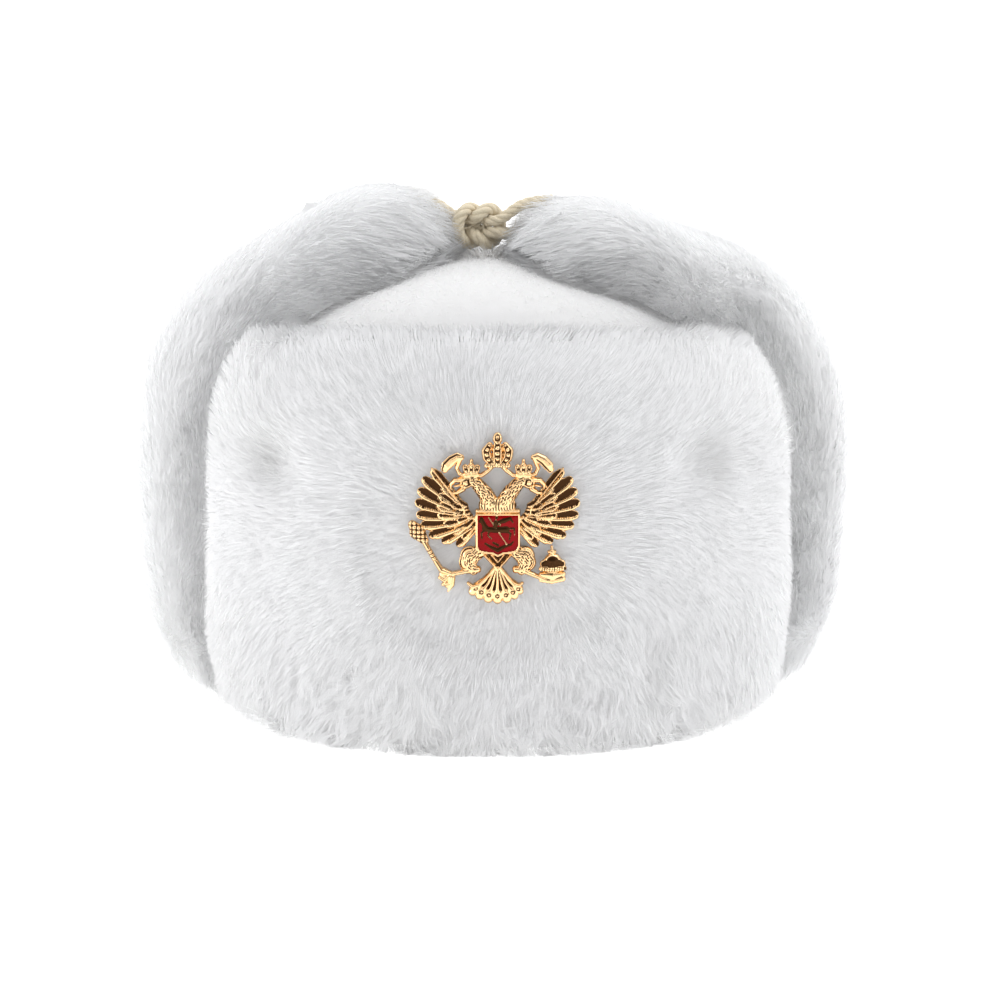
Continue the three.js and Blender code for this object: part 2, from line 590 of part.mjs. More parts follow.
const hat = new THREE.Group();
const seatY = BADGE.seatDepth - CROWN_HALF.length - VISOR_PROFILE[4].outer;
const badgeY = seatY - BADGE.standOff;
const holeDepth = POST.length + CLEARANCE;
const postHole = placed(postCylinder(holeDepth + CUT_BELOW, CLEARANCE).translate([0, 0, -holeDepth]), badgeY);
addPiece(hat, "crown", makeCrown(), PLUSH);
addPiece(hat, "front_visor", makeVisor(seatY).subtract(postHole), WHITE_FUR);
for (const flap of EAR_FLAPS) {
  const socket = makeCord(flap.side, CLEARANCE);
  addPiece(hat, flap.name, makeEarFlap(flap).subtract(socket), WHITE_FUR);
}
addPiece(hat, "neck_flap", makeNeckFlap(), WHITE_FUR);
addPiece(hat, "tie_cord_right", makeCord(1, 0), COTTON);
addPiece(hat, "tie_cord_left", makeCord(-1, 0), COTTON);
addPiece(hat, "eagle_badge", makeBadge(badgeY), GOLD);
addPiece(hat, "badge_shield", makeShield(badgeY), ENAMEL);

export default hat;
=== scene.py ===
"""A white fur ushanka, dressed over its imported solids: fur, plush, knotted cords and a gilt badge.

Lengths in the tables are millimetres, in the solids' own frame: the wearer faces -Y, +X is at the right of
the front view and the fur rests on z = 0. Meshes are handed to Blender in metres.
"""
import math

import bpy
import numpy as np
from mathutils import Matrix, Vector


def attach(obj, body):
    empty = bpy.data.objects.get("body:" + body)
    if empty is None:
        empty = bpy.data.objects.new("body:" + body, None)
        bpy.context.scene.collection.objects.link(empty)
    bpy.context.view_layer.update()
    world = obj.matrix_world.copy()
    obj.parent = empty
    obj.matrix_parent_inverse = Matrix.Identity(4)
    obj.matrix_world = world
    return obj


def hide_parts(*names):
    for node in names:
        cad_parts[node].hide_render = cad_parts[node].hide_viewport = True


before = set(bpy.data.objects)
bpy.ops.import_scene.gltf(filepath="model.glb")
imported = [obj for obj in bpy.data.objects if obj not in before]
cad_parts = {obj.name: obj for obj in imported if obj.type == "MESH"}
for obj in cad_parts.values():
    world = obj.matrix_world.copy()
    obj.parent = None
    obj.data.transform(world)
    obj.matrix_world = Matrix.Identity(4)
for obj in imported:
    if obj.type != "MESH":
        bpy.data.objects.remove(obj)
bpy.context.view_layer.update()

MM = 0.001
CENTRE = np.array([0.08, 0.6, 0.0])  # the middle of the finished hat, measured from the middle of the crown

# Camera: the photograph's angle, distance and framing
CAMERA_EYE = (0.0, -1483.5, 302.3)
CAMERA_AIM = (0.0, 0.0, 80.6)
CAMERA_LENS = 143.05
CAMERA_SHIFT = (0.009, -0.030)


def in_metres(points):
    """The points of the tables' frame, centred and in metres."""
    return (np.asarray(points, float) - CENTRE) * MM


def make_camera():
    data = bpy.data.cameras.new("camera")
    data.sensor_width = 36
    data.lens = CAMERA_LENS
    data.shift_x, data.shift_y = CAMERA_SHIFT
    data.clip_end = 20
    camera = bpy.data.objects.new("camera", data)
    bpy.context.collection.objects.link(camera)
    eye, aim = Vector(in_metres(CAMERA_EYE)), Vector(in_metres(CAMERA_AIM))
    camera.location = eye
    camera.rotation_euler = (aim - eye).to_track_quat("-Z", "Y").to_euler()
    bpy.context.scene.camera = camera


make_camera()

# The hat's own measures, as in the solids
HEAD_HALF = np.array([84.0, 104.0])
CROWN_WALL = 8.0
CROWN_HALF = HEAD_HALF + CROWN_WALL
RIDGE_SHARPNESS = 1.5
SEAT_DEPTH = 3.0
VISOR = {"half_span": 70.5, "turn": 4.5, "top_share": 0.535, "left_drop": 0.14, "right_drop": 0.22}
EAR = {"tongue": 41, "softness": 8, "tip_round": 27, "sewn_from": 0.93, "free_from": 0.76, "thin_back": 0.16}
EAR_GAP = {"visor": 1.2, "neck": 0.95}
NECK = {"half_span": 48, "top_share": 0.5, "thick_sides": 0.13}
SEAM_FULLNESS = 0.8
BADGE = {
    "x": 2.2, "z": 85, "bow": 150,
    "stand_off": 0.8, "seat_depth": 2.6, "seat_radius": 44, "seat_fade": 12,
}
CORD = {
    "diameter": 3.7,
    "knot": (-4.5, -6.0, 173.4),
    "plies": 4,
    "lay": 13.0,  # the length in which a ply goes once round
    "swell": 0.14,  # how much thicker the knot is pressed
    "frayed": 70,  # loose fibres at the end, and as many in the knot
}

# reach, ridge height, side height
CROWN_SECTIONS = [
    (1.0, 0, 0),
    (1.02, 45, 45),
    (1.01, 92, 90),
    (0.96, 122, 117),
    (0.86, 142, 134),
    (0.66, 155, 148),
    (0.36, 162, 158),
    (0.0, 163, 163),
]
# along, outer
VISOR_PROFILE = [
    (0.0, 12), (0.012, 19), (0.05, 25.5), (0.15, 29), (0.35, 30.5),
    (0.6, 30.5), (0.8, 28.5), (0.92, 24), (0.98, 16), (1.0, 5), (1.0, -2),
]
EAR_PROFILE = [
    (0.0, 10), (0.015, 19), (0.05, 29), (0.14, 37.5), (0.3, 41), (0.42, 41),
    (0.53, 38), (0.64, 33), (0.76, 30), (0.88, 31.5), (0.96, 28), (1.0, 12), (1.0, -2),
]
NECK_PROFILE = [
    (0.0, 14), (0.012, 21), (0.05, 27), (0.15, 30), (0.4, 31),
    (0.7, 30), (0.9, 26), (0.98, 17), (1.0, 6), (1.0, -2),
]
# x, z, radius, depth
VISOR_DENTS = [(-77, 100, 9, 6), (75, 100, 10, 6), (57, 38, 6, 2), (56, 29, 5, 2), (54, 20, 5, 2)]
EAR_FLAPS = {
    "ear_flap_right": {"side": 1, "tip_reach": 10.5, "forward": 13, "top_thickness": 0.88},
    "ear_flap_left": {"side": -1, "tip_reach": 16.5, "forward": 3, "top_thickness": 1.03},
}
# x towards the far flap, up, and forward out of the knot's face, in cord diameters
CORD_ROUTE = [
    (-7.4, 2.75, -0.9), (-5.4, 2.5, -0.9), (-4.1, 2.1, -0.85), (-3.1, 1.4, -0.8), (-2.1, 0.72, -0.7),
    (-1.26, 0.58, -0.6), (-0.67, 0.66, 0.06), (0, 1.18, 0.72), (0.76, 1.76, 0.36), (1.51, 1.5, -0.48),
    (1.97, 0.78, -0.74), (2.1, 0, -0.78), (1.97, -0.78, -0.74), (1.51, -1.5, -0.48), (0.76, -1.76, 0.36),
    (0, -1.18, 0.72), (-0.67, -0.66, 0.06), (-1.26, -0.58, -0.6), (-2.1, -0.6, -0.7), (-2.9, -0.72, -0.6),
]


def mix(a, b, share):
    return a + (b - a) * share


def smoothstep(x, low, high):
    """0 below low, 1 above high, and the cubic 3s2 - 2s3 between them."""
    s = np.clip((np.asarray(x, float) - low) / (high - low), 0, 1)
    return s * s * (3 - 2 * s)


def unit(vectors):
    return vectors / np.maximum(np.linalg.norm(vectors, axis=-1, keepdims=True), 1e-12)


def along_table(rows, share):
    """A Catmull-Rom curve through the rows, column by column: share 0 is the first row and 1 the last."""
    rows = np.asarray(rows, float)
    place = np.clip(share, 0, 1) * (len(rows) - 1)
    i = np.minimum(place.astype(int), len(rows) - 2)
    f = (place - i)[..., None]
    a, b, c, d = (rows[np.clip(i + k, 0, len(rows) - 1)] for k in (-1, 0, 1, 2))
    slope_in, slope_out = (c - a) / 2, (d - b) / 2
    cubic = 2 * b - 2 * c + slope_in + slope_out
    square = 3 * (c - b) - 2 * slope_in - slope_out
    return ((cubic * f + square) * f + slope_in) * f + b


def make_object(name, points, faces, normals=None):
    """A mesh object at the origin from points in the tables' frame and an array of triangles or quads."""
    mesh = bpy.data.meshes.new(name)
    faces = np.asarray(faces, np.int32)
    mesh.vertices.add(len(points))
    mesh.vertices.foreach_set("co", in_metres(points).astype(np.float32).ravel())
    sides = faces.shape[1]
    mesh.loops.add(faces.size)
    mesh.loops.foreach_set("vertex_index", faces.ravel())
    mesh.polygons.add(len(faces))
    mesh.polygons.foreach_set("loop_start", np.arange(len(faces), dtype=np.int32) * sides)
    mesh.polygons.foreach_set("use_smooth", np.full(len(faces), True))
    mesh.update(calc_edges=True)
    mesh.validate()
    if normals is not None:
        mesh.normals_split_custom_set_from_vertices(normals)
    thing = bpy.data.objects.new(name, mesh)
    bpy.context.collection.objects.link(thing)
    return thing


def grid_faces(rows, columns, closed=False):
    """Triangles over a grid of rows by columns; closed joins the last column to the first."""
    r, c = np.meshgrid(np.arange(rows - 1), np.arange(columns if closed else columns - 1), indexing="ij")
    a = r * columns + c
    b = r * columns + (c + 1) % columns
    quads = np.stack([a, b, b + columns, a + columns], -1).reshape(-1, 4)
    return np.concatenate([quads[:, [0, 1, 2]], quads[:, [0, 2, 3]]])


def outward(points, faces):
    """The same triangles, turned round if the closed shape they make has a negative volume."""
    a, b, c = (points[faces[:, k]] for k in range(3))
    volume = np.einsum("ij,ij->i", a, np.cross(b, c)).sum()
    return faces if volume > 0 else faces[:, ::-1]


def capped_faces(rows, around):
    """Triangles over closed rings, with a fan at each end round two middle points that follow the rings'."""
    i = np.arange(around)
    j = (i + 1) % around
    last = (rows - 1) * around
    first_fan = np.stack([np.full(around, rows * around), j, i], -1)
    last_fan = np.stack([np.full(around, rows * around + 1), last + i, last + j], -1)
    return np.concatenate([grid_faces(rows, around, closed=True), first_fan, last_fan])


def dress(name, node, slot, material, points, faces, normals=None, tone=None):
    """A piece on the hat's one body that takes a node's place; tone is a value that its material reads."""
    piece = make_object(name, points, faces, normals)
    piece.data.materials.append(material)
    if tone is not None:
        layer = piece.data.attributes.new("tone", "FLOAT", "POINT")
        layer.data.foreach_set("value", np.asarray(tone, np.float32))
    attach(piece, "root")
    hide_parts(node)
    return piece


def join_parts(parts):
    """Parts, each of points, triangles and any further arrays by point, as one."""
    starts = np.cumsum([0] + [len(part[0]) for part in parts[:-1]])
    columns = list(zip(*parts))
    columns[1] = [faces + start for faces, start in zip(columns[1], starts)]
    return [np.concatenate(column) for column in columns]


def vertex_normals(points, faces):
    """Normals at the points of a mesh: the sum of its triangles' cross products round each."""
    a, b, c = (points[faces[:, k]] for k in range(3))
    face = np.cross(b - a, c - a)
    total = np.zeros_like(points)
    for k in range(3):
        np.add.at(total, faces[:, k], face)
    return unit(total)


class Socket:
    """An output of a material's node, with Python's operators as Math nodes."""

    def __init__(self, shader, output):
        self.shader, self.output = shader, output

    def _math(self, operation, *values):
        return self.shader.node("ShaderNodeMath", {"operation": operation}, dict(enumerate(values)))

    def __add__(self, other):
        return self._math("ADD", self, other)

    __radd__ = __add__

    def __mul__(self, other):
        return self._math("MULTIPLY", self, other)

    __rmul__ = __mul__

    def __sub__(self, other):
        return self._math("SUBTRACT", self, other)

    def __rsub__(self, other):
        return self._math("SUBTRACT", other, self)


class Shader:
    def __init__(self, name, owners=bpy.data.materials):
        self.material = owners.new(name)
        self.material.use_nodes = True
        self.tree = self.material.node_tree
        self.tree.nodes.clear()

    def node(self, kind, settings=None, inputs=None, output=0):
        made = self.tree.nodes.new(kind)
        for key, value in (settings or {}).items():
            setattr(made, key, value)
        for key, value in (inputs or {}).items():
            self.join(value, made.inputs[key])
        return Socket(self, made.outputs[output])

    def join(self, value, socket):
        if isinstance(value, Socket):
            self.tree.links.new(value.output, socket)
        else:
            socket.default_value = value

    def noise(self, scale, detail=2, stretch=(1, 1, 1)):
        """Noise from 0 to 1 on object coordinates, scale cells to the metre, stretched by a vector."""
        place = self.node("ShaderNodeTexCoord", output="Object")
        if stretch != (1, 1, 1):
            place = self.node("ShaderNodeMapping", None, {"Vector": place, "Scale": stretch})
        inputs = {"Vector": place, "Scale": scale, "Detail": detail}
        return self.node("ShaderNodeTexNoise", None, inputs, "Fac")

    def smoothstep(self, value, low, high):
        """0 where the value is below low, 1 above high, and smooth between them."""
        inputs = {"Value": value, "From Min": low, "From Max": high}
        return self.node("ShaderNodeMapRange", {"interpolation_type": "SMOOTHSTEP"}, inputs, "Result")

    def attribute(self, name):
        return self.node("ShaderNodeAttribute", {"attribute_name": name}, None, "Fac")

    def blend(self, share, a, b):
        return self.node("ShaderNodeMix", {"data_type": "RGBA"}, {0: share, 6: a, 7: b}, 2)

    def bump(self, height, strength, distance):
        inputs = {"Height": height, "Strength": strength, "Distance": distance}
        return self.node("ShaderNodeBump", None, inputs)

    def finish(self, through=None, **sockets):
        """The surface, half of it light that passes through where through gives that light's colour."""
        inputs = {name.replace("_", " "): value for name, value in sockets.items()}
        surface = self.node("ShaderNodeBsdfPrincipled", None, inputs)
        if through:
            passed = self.node("ShaderNodeBsdfTranslucent", None, {"Color": through})
            surface = self.node("ShaderNodeMixShader", None, {0: 0.5, 1: surface, 2: passed})
        output = self.tree.nodes.new("ShaderNodeOutputMaterial")
        self.join(surface, output.inputs["Surface"])
        return self.material


def grey(value):
    return (value, value, value, 1)


# Cords: two of them in one reef knot, each laid up from plies
def cord_route(side):
    """One flap's route in the hat's frame; the other flap's is this one turned half round the knot."""
    x, up, forward = np.array(CORD_ROUTE, float).T * CORD["diameter"]
    return np.stack([-side * x, side * forward, up], -1) + CORD["knot"]


def cord_path(side, count):
    """The cord's middle line, at even distances along a Catmull-Rom curve through the route."""
    line = along_table(cord_route(side), np.linspace(0, 1, 4000))
    length = np.concatenate([[0], np.cumsum(np.linalg.norm(np.diff(line, axis=0), axis=1))])
    even = np.linspace(0, length[-1], count)
    return np.stack([np.interp(even, length, line[:, k]) for k in range(3)], -1), length[-1]


def carried_frames(line):
    """Two directions across the line at each of its points, carried along it without twisting."""
    tangent = unit(np.gradient(line, axis=0))
    first = unit(np.cross(tangent[0], [0.2, 0.3, 1.0]))
    across = []
    for along in tangent:
        first = unit(first - along * (first @ along))
        across.append(first)
    return np.array(across), np.cross(tangent, across)


def tube(line, radius, sides):
    """A closed tube round a line: its points and triangles."""
    a, b = carried_frames(line)
    turn = np.linspace(0, 2 * math.pi, sides + 1)[:-1]
    ring = a[:, None] * np.cos(turn)[None, :, None] + b[:, None] * np.sin(turn)[None, :, None]
    radius = np.broadcast_to(radius, (len(line),))
    rings = (line[:, None] + ring * radius[:, None, None]).reshape(-1, 3)
    points = np.concatenate([rings, line[[0, -1]]])
    return points, outward(points, capped_faces(len(line), sides))


def build_cord(name, node, path, length, material):
    """Plies wound round the cord's middle line, each a tube, and pressed thicker in the knot."""
    a, b = carried_frames(path)
    along = np.linspace(0, length, len(path))
    radius = CORD["diameter"] / 2 * (1 + CORD["swell"] * smoothstep(along, 22, 32))
    parts = []
    for ply in range(CORD["plies"]):
        turn = 2 * math.pi * (ply / CORD["plies"] + along / CORD["lay"])[:, None]
        line = path + (a * np.cos(turn) + b * np.sin(turn)) * 0.56 * radius[:, None]
        parts.append(tube(line, 0.6 * radius, 8))
    return dress(name, node, "cord", material, *join_parts(parts))


FIBRE_RADIUS = np.array([0.2, 0.19, 0.17, 0.14, 0.06])  # from root to tip


def fray_cord(name, path, material, seed):
    """Loose fibres at the cord's cut end, and as many in the knot.

    Each is a thin tube along start + way s + bend s2 / 5, for s from 0 to its length.
    """
    tip_way = unit(path[-1] - path[-2])
    rng = np.random.default_rng(seed)
    fibres = []
    for k in range(2 * CORD["frayed"]):
        start = path[-1] + rng.normal(0, 0.9, 3) - tip_way * 1.2
        way = unit(tip_way + rng.normal(0, 0.4, 3))
        if k >= CORD["frayed"]:
            start = np.array(CORD["knot"]) + rng.normal(0, 1, 3) * [3.0, 0.8, 1.2]
            way = unit(rng.normal(0, 1, 3) * [1.0, 0.2, 0.4])
        bend = rng.normal(0, 0.3, 3)
        s = np.linspace(0, rng.uniform(3.0, 6.0), 5)[:, None]
        fibres.append(tube(start + way * s + bend * s**2 / 5, FIBRE_RADIUS, 4))
    made = make_object(name, *join_parts(fibres))
    made.data.materials.append(material)
    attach(made, "root")
    return made


def cotton_yarn():
    """Cream cotton, mottled and finely bumped."""
    shader = Shader("cotton_cord")
    yarn = shader.noise(2600)
    cream = shader.blend(yarn, (0.58, 0.47, 0.30, 1), (0.86, 0.79, 0.63, 1))
    return shader.finish(Base_Color=cream, Roughness=0.85, Sheen_Weight=0.3, Specular_IOR_Level=0.2,
                         Normal=shader.bump(yarn, 0.6, 0.0004))


cotton = cotton_yarn()
for side, node in ((1, "tie_cord_right"), (-1, "tie_cord_left")):
    path, length = cord_path(side, 280)
    made = build_cord(node + "_plies", node, path, length, cotton)
    ends = fray_cord(node + "_frayed", path, cotton, 52 + side)


def crown_point(angle, section):
    """The crown's outer face: an oval of the section's reach, whose height rises from side to ridge."""
    reach, ridge_height, side_height = np.moveaxis(along_table(CROWN_SECTIONS, section), -1, 0)
    ridge = np.abs(np.sin(angle)) ** RIDGE_SHARPNESS
    x = CROWN_HALF[0] * reach * np.cos(angle)
    y = CROWN_HALF[1] * reach * np.sin(angle)
    return np.stack([x, y, mix(side_height, ridge_height, ridge)], -1)


def crown_normal(angle, section):
    step = 1e-3
    round_it = crown_point(angle + step, section) - crown_point(angle - step, section)
    up_it = crown_point(angle, section + step) - crown_point(angle, section - step)
    return unit(np.cross(round_it, up_it))


def lifted_point(angle, section, lift):
    """A point that stands off the crown's face by lift, and never under the surface that the hat rests on."""
    point = crown_point(angle, section) + crown_normal(angle, section) * lift[..., None]
    point[..., 2] = np.maximum(point[..., 2], 0)
    return point


def section_at_reach(reach):
    """The section where the crown's reach has shrunk to this, by halving the range 24 times."""
    low = np.full_like(reach, 2 / (len(CROWN_SECTIONS) - 1))
    high = np.ones_like(reach)
    for _ in range(24):
        middle = (low + high) / 2
        above = along_table(CROWN_SECTIONS, middle)[..., 0] > reach
        low, high = np.where(above, middle, low), np.where(above, high, middle)
    return (low + high) / 2


def puff(across):
    """1 in the middle and falling to 0 at both edges, as a stuffed edge does."""
    return (1 - np.minimum(np.abs(across), 1) ** 6) ** 0.3


def bowed_back(x):
    return x * x / (2 * BADGE["bow"])


SEAT_Y = BADGE["seat_depth"] - CROWN_HALF[1] - max(outer for along, outer in VISOR_PROFILE)
BADGE_Y = SEAT_Y - BADGE["stand_off"]


# The hat's lower outline rises towards the sides, where the solids keep a plain rim, so the hair is lifted
RIM_RISE = {"height": 4.5, "side_from": 50, "side_to": 105, "up_to": 45, "full_at": 5}
BROADEST = 0.9999  # how near to a piece's side edges its form is worked out
NUDGE = 2e-3  # how far apart the points are that give a form's slopes


def press_visor(point, across):
    """Presses the fur in behind the badge and at the two stitches that hold the visor up."""
    from_badge = np.hypot(point[..., 0] - BADGE["x"], point[..., 2] - BADGE["z"])
    pressed = 1 - smoothstep(from_badge, BADGE["seat_radius"], BADGE["seat_radius"] + BADGE["seat_fade"])
    seat = np.maximum(point[..., 1], SEAT_Y + bowed_back(point[..., 0] - BADGE["x"]))
    point[..., 1] = mix(point[..., 1], seat, pressed)
    outwards = unit(point * [1, 1, 0])
    for x, z, radius, depth in VISOR_DENTS:
        away = np.hypot(point[..., 0] - x, point[..., 2] - z) / radius
        point = point - outwards * (depth * puff(across) * np.exp(-away * away))[..., None]
    return point


def visor_place(across, along):
    turned = across * VISOR["half_span"] + VISOR["turn"] * across * across
    corner = 1 - (1 - np.abs(across) ** 5) ** 0.2
    drop = np.where(across < 0, VISOR["left_drop"], VISOR["right_drop"])
    top = VISOR["top_share"] * (1 - drop * corner)
    return np.radians(turned - 90), along * top


def neck_place(across, along):
    return np.radians(90 + across * NECK["half_span"]), along * NECK["top_share"]


def ear_place(flap):
    """A tongue whose edges follow the crown up from the rim, and which ends beside the crown's middle."""
    side, forward = flap["side"], flap["forward"]
    front = math.radians(90 - VISOR["half_span"] - EAR_GAP["visor"] - side * VISOR["turn"])
    rear = math.radians(90 - NECK["half_span"] - EAR_GAP["neck"])

    def row_y(across, reach):
        edge = CROWN_HALF[1] * reach * np.sin(np.where(across < 0, front, rear))
        free = (edge + EAR["tongue"] + np.hypot(edge - EAR["tongue"], EAR["softness"])) / 2
        sewn = smoothstep(reach, EAR["free_from"], EAR["sewn_from"])
        return across * mix(free, edge, sewn) - forward * (1 - smoothstep(reach, 0.5, EAR["sewn_from"]))

    def place(across, along):
        tip_x = flap["tip_reach"] + EAR["tip_round"] * (1 - (1 - across**2) ** 0.45)
        end_reach = np.hypot(tip_x / CROWN_HALF[0], row_y(across, 0.0 * across) / CROWN_HALF[1])
        section = along * section_at_reach(end_reach)
        reach = along_table(CROWN_SECTIONS, section)[..., 0]
        angle = np.arcsin(np.clip(row_y(across, reach) / (CROWN_HALF[1] * reach), -1, 1))
        return (angle if side > 0 else math.pi - angle), section

    return place


def ear_edge(flap):
    def edge(across, along):
        sewn = np.where(across > 0, SEAM_FULLNESS * (1 - smoothstep(along, 0.5, 0.66)), 0)
        top = mix(1, flap["top_thickness"], smoothstep(along, 0.6, 0.88))
        return top * mix(puff(across), 1, sewn) * (1 - EAR["thin_back"] * smoothstep(across, 0.3, 1))

    return edge


def visor_edge(across, along):
    return puff(across)


def neck_edge(across, along):
    return (1 + NECK["thick_sides"] * across * across) * mix(puff(across), 1, SEAM_FULLNESS)


FUR = {
    "depth": 3.3,  # how far under the form the hairs are rooted
    "inset": 2.4,  # how far under it the skin lies
    "length": 7.6,
    "width": 0.28,
    "proud": 0.45,  # how far the tips stand out of the form
    "lowest": 0.25,  # how near to the ground a hair comes
    "lock": 5.5,
    "fine_lock": 1.9,
    "tone": 0.965,  # 1 is the pile's pale colour and 0 its shade
    "skin_tone": 0.93,
}
HAIRS = {"front_visor": 88000, "ear_flap": 79000, "neck_flap": 52000, "crown": 50000}
THIN = 1.0

# Smooth noise: a lattice of seeded values, joined by the cubic of smoothstep
LATTICE = np.random.default_rng(7).uniform(-1, 1, (32, 32, 32, 3))


def noise(points, size, seed=0):
    """Three smooth values from -1 to 1 at each point, from a lattice whose cells are size wide."""
    place = points / size + np.array([17.3, 5.1, 11.7]) * (seed + 1)
    cell = np.floor(place).astype(int)
    f = place - cell
    f = f * f * (3 - 2 * f)
    value = 0
    for corner in range(8):
        offset = np.array([corner & 1, corner >> 1 & 1, corner >> 2 & 1])
        weight = np.prod(np.where(offset, f, 1 - f), axis=-1)
        x, y, z = np.moveaxis((cell + offset) % 32, -1, 0)
        value = value + LATTICE[x, y, z] * weight[..., None]
    return value


def across_of(step):
    """The place across a piece, from -1 to 1, with the steps closing up towards both edges as a sine's do."""
    return BROADEST * np.sin(step * math.pi / 2)


class FurPiece:
    """A fur piece's outer form as a function of step, edge to edge, and share, from the rim to the top.

    The form stands off the crown by the profile's outer, scaled by edge. reach is the part of step and share
    that the skin covers. The hair turns out over the side edges by spill, is ruffled by brush, and gets
    painted shade by border beside them, where the seams' valleys lie. shape bends the finished form.
    """

    def __init__(self, profile, place, edge, reach, spill, brush=0.0, border=0.0, shape=None):
        self.profile, self.place, self.edge, self.reach, self.shape = profile, place, edge, reach, shape
        self.spill, self.brush, self.border = spill, brush, border
        self.turned = 1.0  # the sign that makes the normals point outwards
        middle, normal = self.frame(np.zeros(1), np.full(1, 0.4))
        self.turned = float(np.sign((middle * normal * [1, 1, 0]).sum()))

    def point(self, step, share):
        """The form: the crown's face, lifted by the profile's outer, its edges SEAT_DEPTH in the crown."""
        across = across_of(step)
        along, outer = np.moveaxis(along_table(self.profile, share), -1, 0)
        angle, section = self.place(across, along)
        lift = (outer + SEAT_DEPTH) * self.edge(across, along) - SEAT_DEPTH
        point = lifted_point(angle, section, lift)
        return self.shape(point, across) if self.shape else point

    def frame(self, step, share):
        """The form's points and outward normals, with its soft lumps."""
        d = NUDGE
        point = self.point(step, share)
        aside = self.point(np.minimum(step + d, 1), share) - self.point(np.maximum(step - d, -1), share)
        up = self.point(step, np.minimum(share + d, 1)) - self.point(step, np.maximum(share - d, 0))
        normal = unit(np.cross(aside, up)) * self.turned
        lump = 0.9 * noise(point, 21, 1)[..., 0] + 0.35 * noise(point, 9, 2)[..., 0]
        raised = smoothstep(np.abs(point[..., 0]), RIM_RISE["side_from"], RIM_RISE["side_to"])
        raised = raised * smoothstep(point[..., 2], RIM_RISE["up_to"], RIM_RISE["full_at"])
        point = point + normal * lump[..., None]
        point[..., 2] += RIM_RISE["height"] * raised
        return point, normal

    def edges(self, step, share):
        """How near places are to a side edge and to the top, the ways over both and the way off the crown."""
        d = NUDGE
        across = across_of(step)
        along = along_table(self.profile, share)[..., 0]

        def crown(a, b):
            return crown_point(*self.place(np.clip(a, -BROADEST, BROADEST), np.clip(b, 0, 1)))

        aside = unit(crown(across + d, along) - crown(across - d, along)) * np.sign(across)[..., None]
        up = unit(crown(across, along + d) - crown(across, along - d))
        return np.abs(across), along, aside, up, crown_normal(*self.place(across, along))


def skin_mesh(piece, columns, rows, inset):
    """The closed body under the fur: a face inset from the form, a back just off the crown, and its ends."""
    edge, top = piece.reach
    step, share = np.meshgrid(np.linspace(-edge, edge, columns), np.linspace(0, top, rows), indexing="ij")
    face, normal = piece.frame(step, share)
    face = face - normal * inset
    face[..., 2] = np.maximum(face[..., 2], 0.3)
    angle, section = piece.place(across_of(step), along_table(piece.profile, share)[..., 0])
    back = lifted_point(angle, section, np.full(step.shape, 0.6))
    points = np.concatenate([face, back[:, ::-1]], 1).reshape(-1, 3)
    count = 2 * rows
    i = np.arange(rows - 1)
    ladder = np.stack([i, i + 1, count - 2 - i, count - 1 - i], -1)
    ends = np.concatenate([ladder[:, ::-1], ladder + (columns - 1) * count])
    faces = np.concatenate([grid_faces(columns, count, closed=True), ends[:, [0, 1, 2]], ends[:, [0, 2, 3]]])
    return points, outward(points, faces)


def scatter(piece, count, rng, steps=220, shares=150):
    """Places spread evenly over the form: cells of a fine grid drawn by their area, and jittered in each."""
    step = np.linspace(-1, 1, steps + 1)
    share = np.linspace(0, 1, shares + 1)
    corners = piece.point(*np.meshgrid(step, share, indexing="ij"))
    sides = corners[1:, :-1] - corners[:-1, :-1], corners[:-1, 1:] - corners[:-1, :-1]
    area = np.linalg.norm(np.cross(*sides), axis=-1)
    chosen = rng.choice(area.size, count, p=area.ravel() / area.sum())
    row, column = np.divmod(chosen, shares)
    at_step = -1 + (row + 0.5 + rng.uniform(-0.5, 0.5, count)) * 2 / steps
    at_share = (column + 0.5 + rng.uniform(-0.5, 0.5, count)) / shares
    return at_step, at_share


def flattened(vectors, normal):
    """The vectors without their part along the normal."""
    return vectors - normal * (vectors * normal).sum(-1, keepdims=True)


def lock_centres(points, size, seed):
    """Which lock each hair belongs to: the jittered middle of its cell in a grid bent by smooth noise."""
    bent = points + noise(points, 3 * size, seed) * size
    cell = np.floor(bent / size)
    key = (cell * [73856093, 19349663, 83492791]).sum(-1).astype(np.int64) + seed * 9176
    jitter = np.stack([np.sin(key * k) for k in (12.9898, 78.233, 37.719)], -1)
    return (cell + 0.5 + 0.3 * jitter) * size - (bent - points), jitter


def hairs(root, normal, lie, rise, reach, width, rng, shaded, own=0.05):
    """Blades of two triangles, pointed at both ends, that leave the skin steeply and lie along the nap.

    root, normal and lie are arrays of vectors; the tip stands rise along the normal and reach along lie, and
    the wide middle 0.7 of the rise and 0.42 of the reach. Gives points, triangles and normals for shading,
    own of them the blade's and the rest the given ones.
    """
    count = len(root)
    tip = root + normal * rise[:, None] + lie * reach[:, None]
    middle = root + normal * (rise * 0.7)[:, None] + lie * (reach * 0.42)[:, None]
    aside = unit(np.cross(lie, normal))
    roll = rng.uniform(-1.2, 1.2, count)[:, None]
    aside = unit(aside * np.cos(roll) + normal * np.sin(roll)) * (width[:, None] / 2)
    points = np.stack([root, middle - aside, middle + aside, tip], 1)
    points[..., 2] = np.maximum(points[..., 2], FUR["lowest"])
    first = np.arange(count)[:, None] * 4
    faces = np.concatenate([first + [0, 2, 1], first + [1, 2, 3]])
    blade = unit(np.cross(aside, tip - root))
    blade = blade * np.sign((blade * normal).sum(-1, keepdims=True))
    return points.reshape(-1, 3), faces, np.repeat(unit(mix(shaded, blade, own)), 4, axis=0)


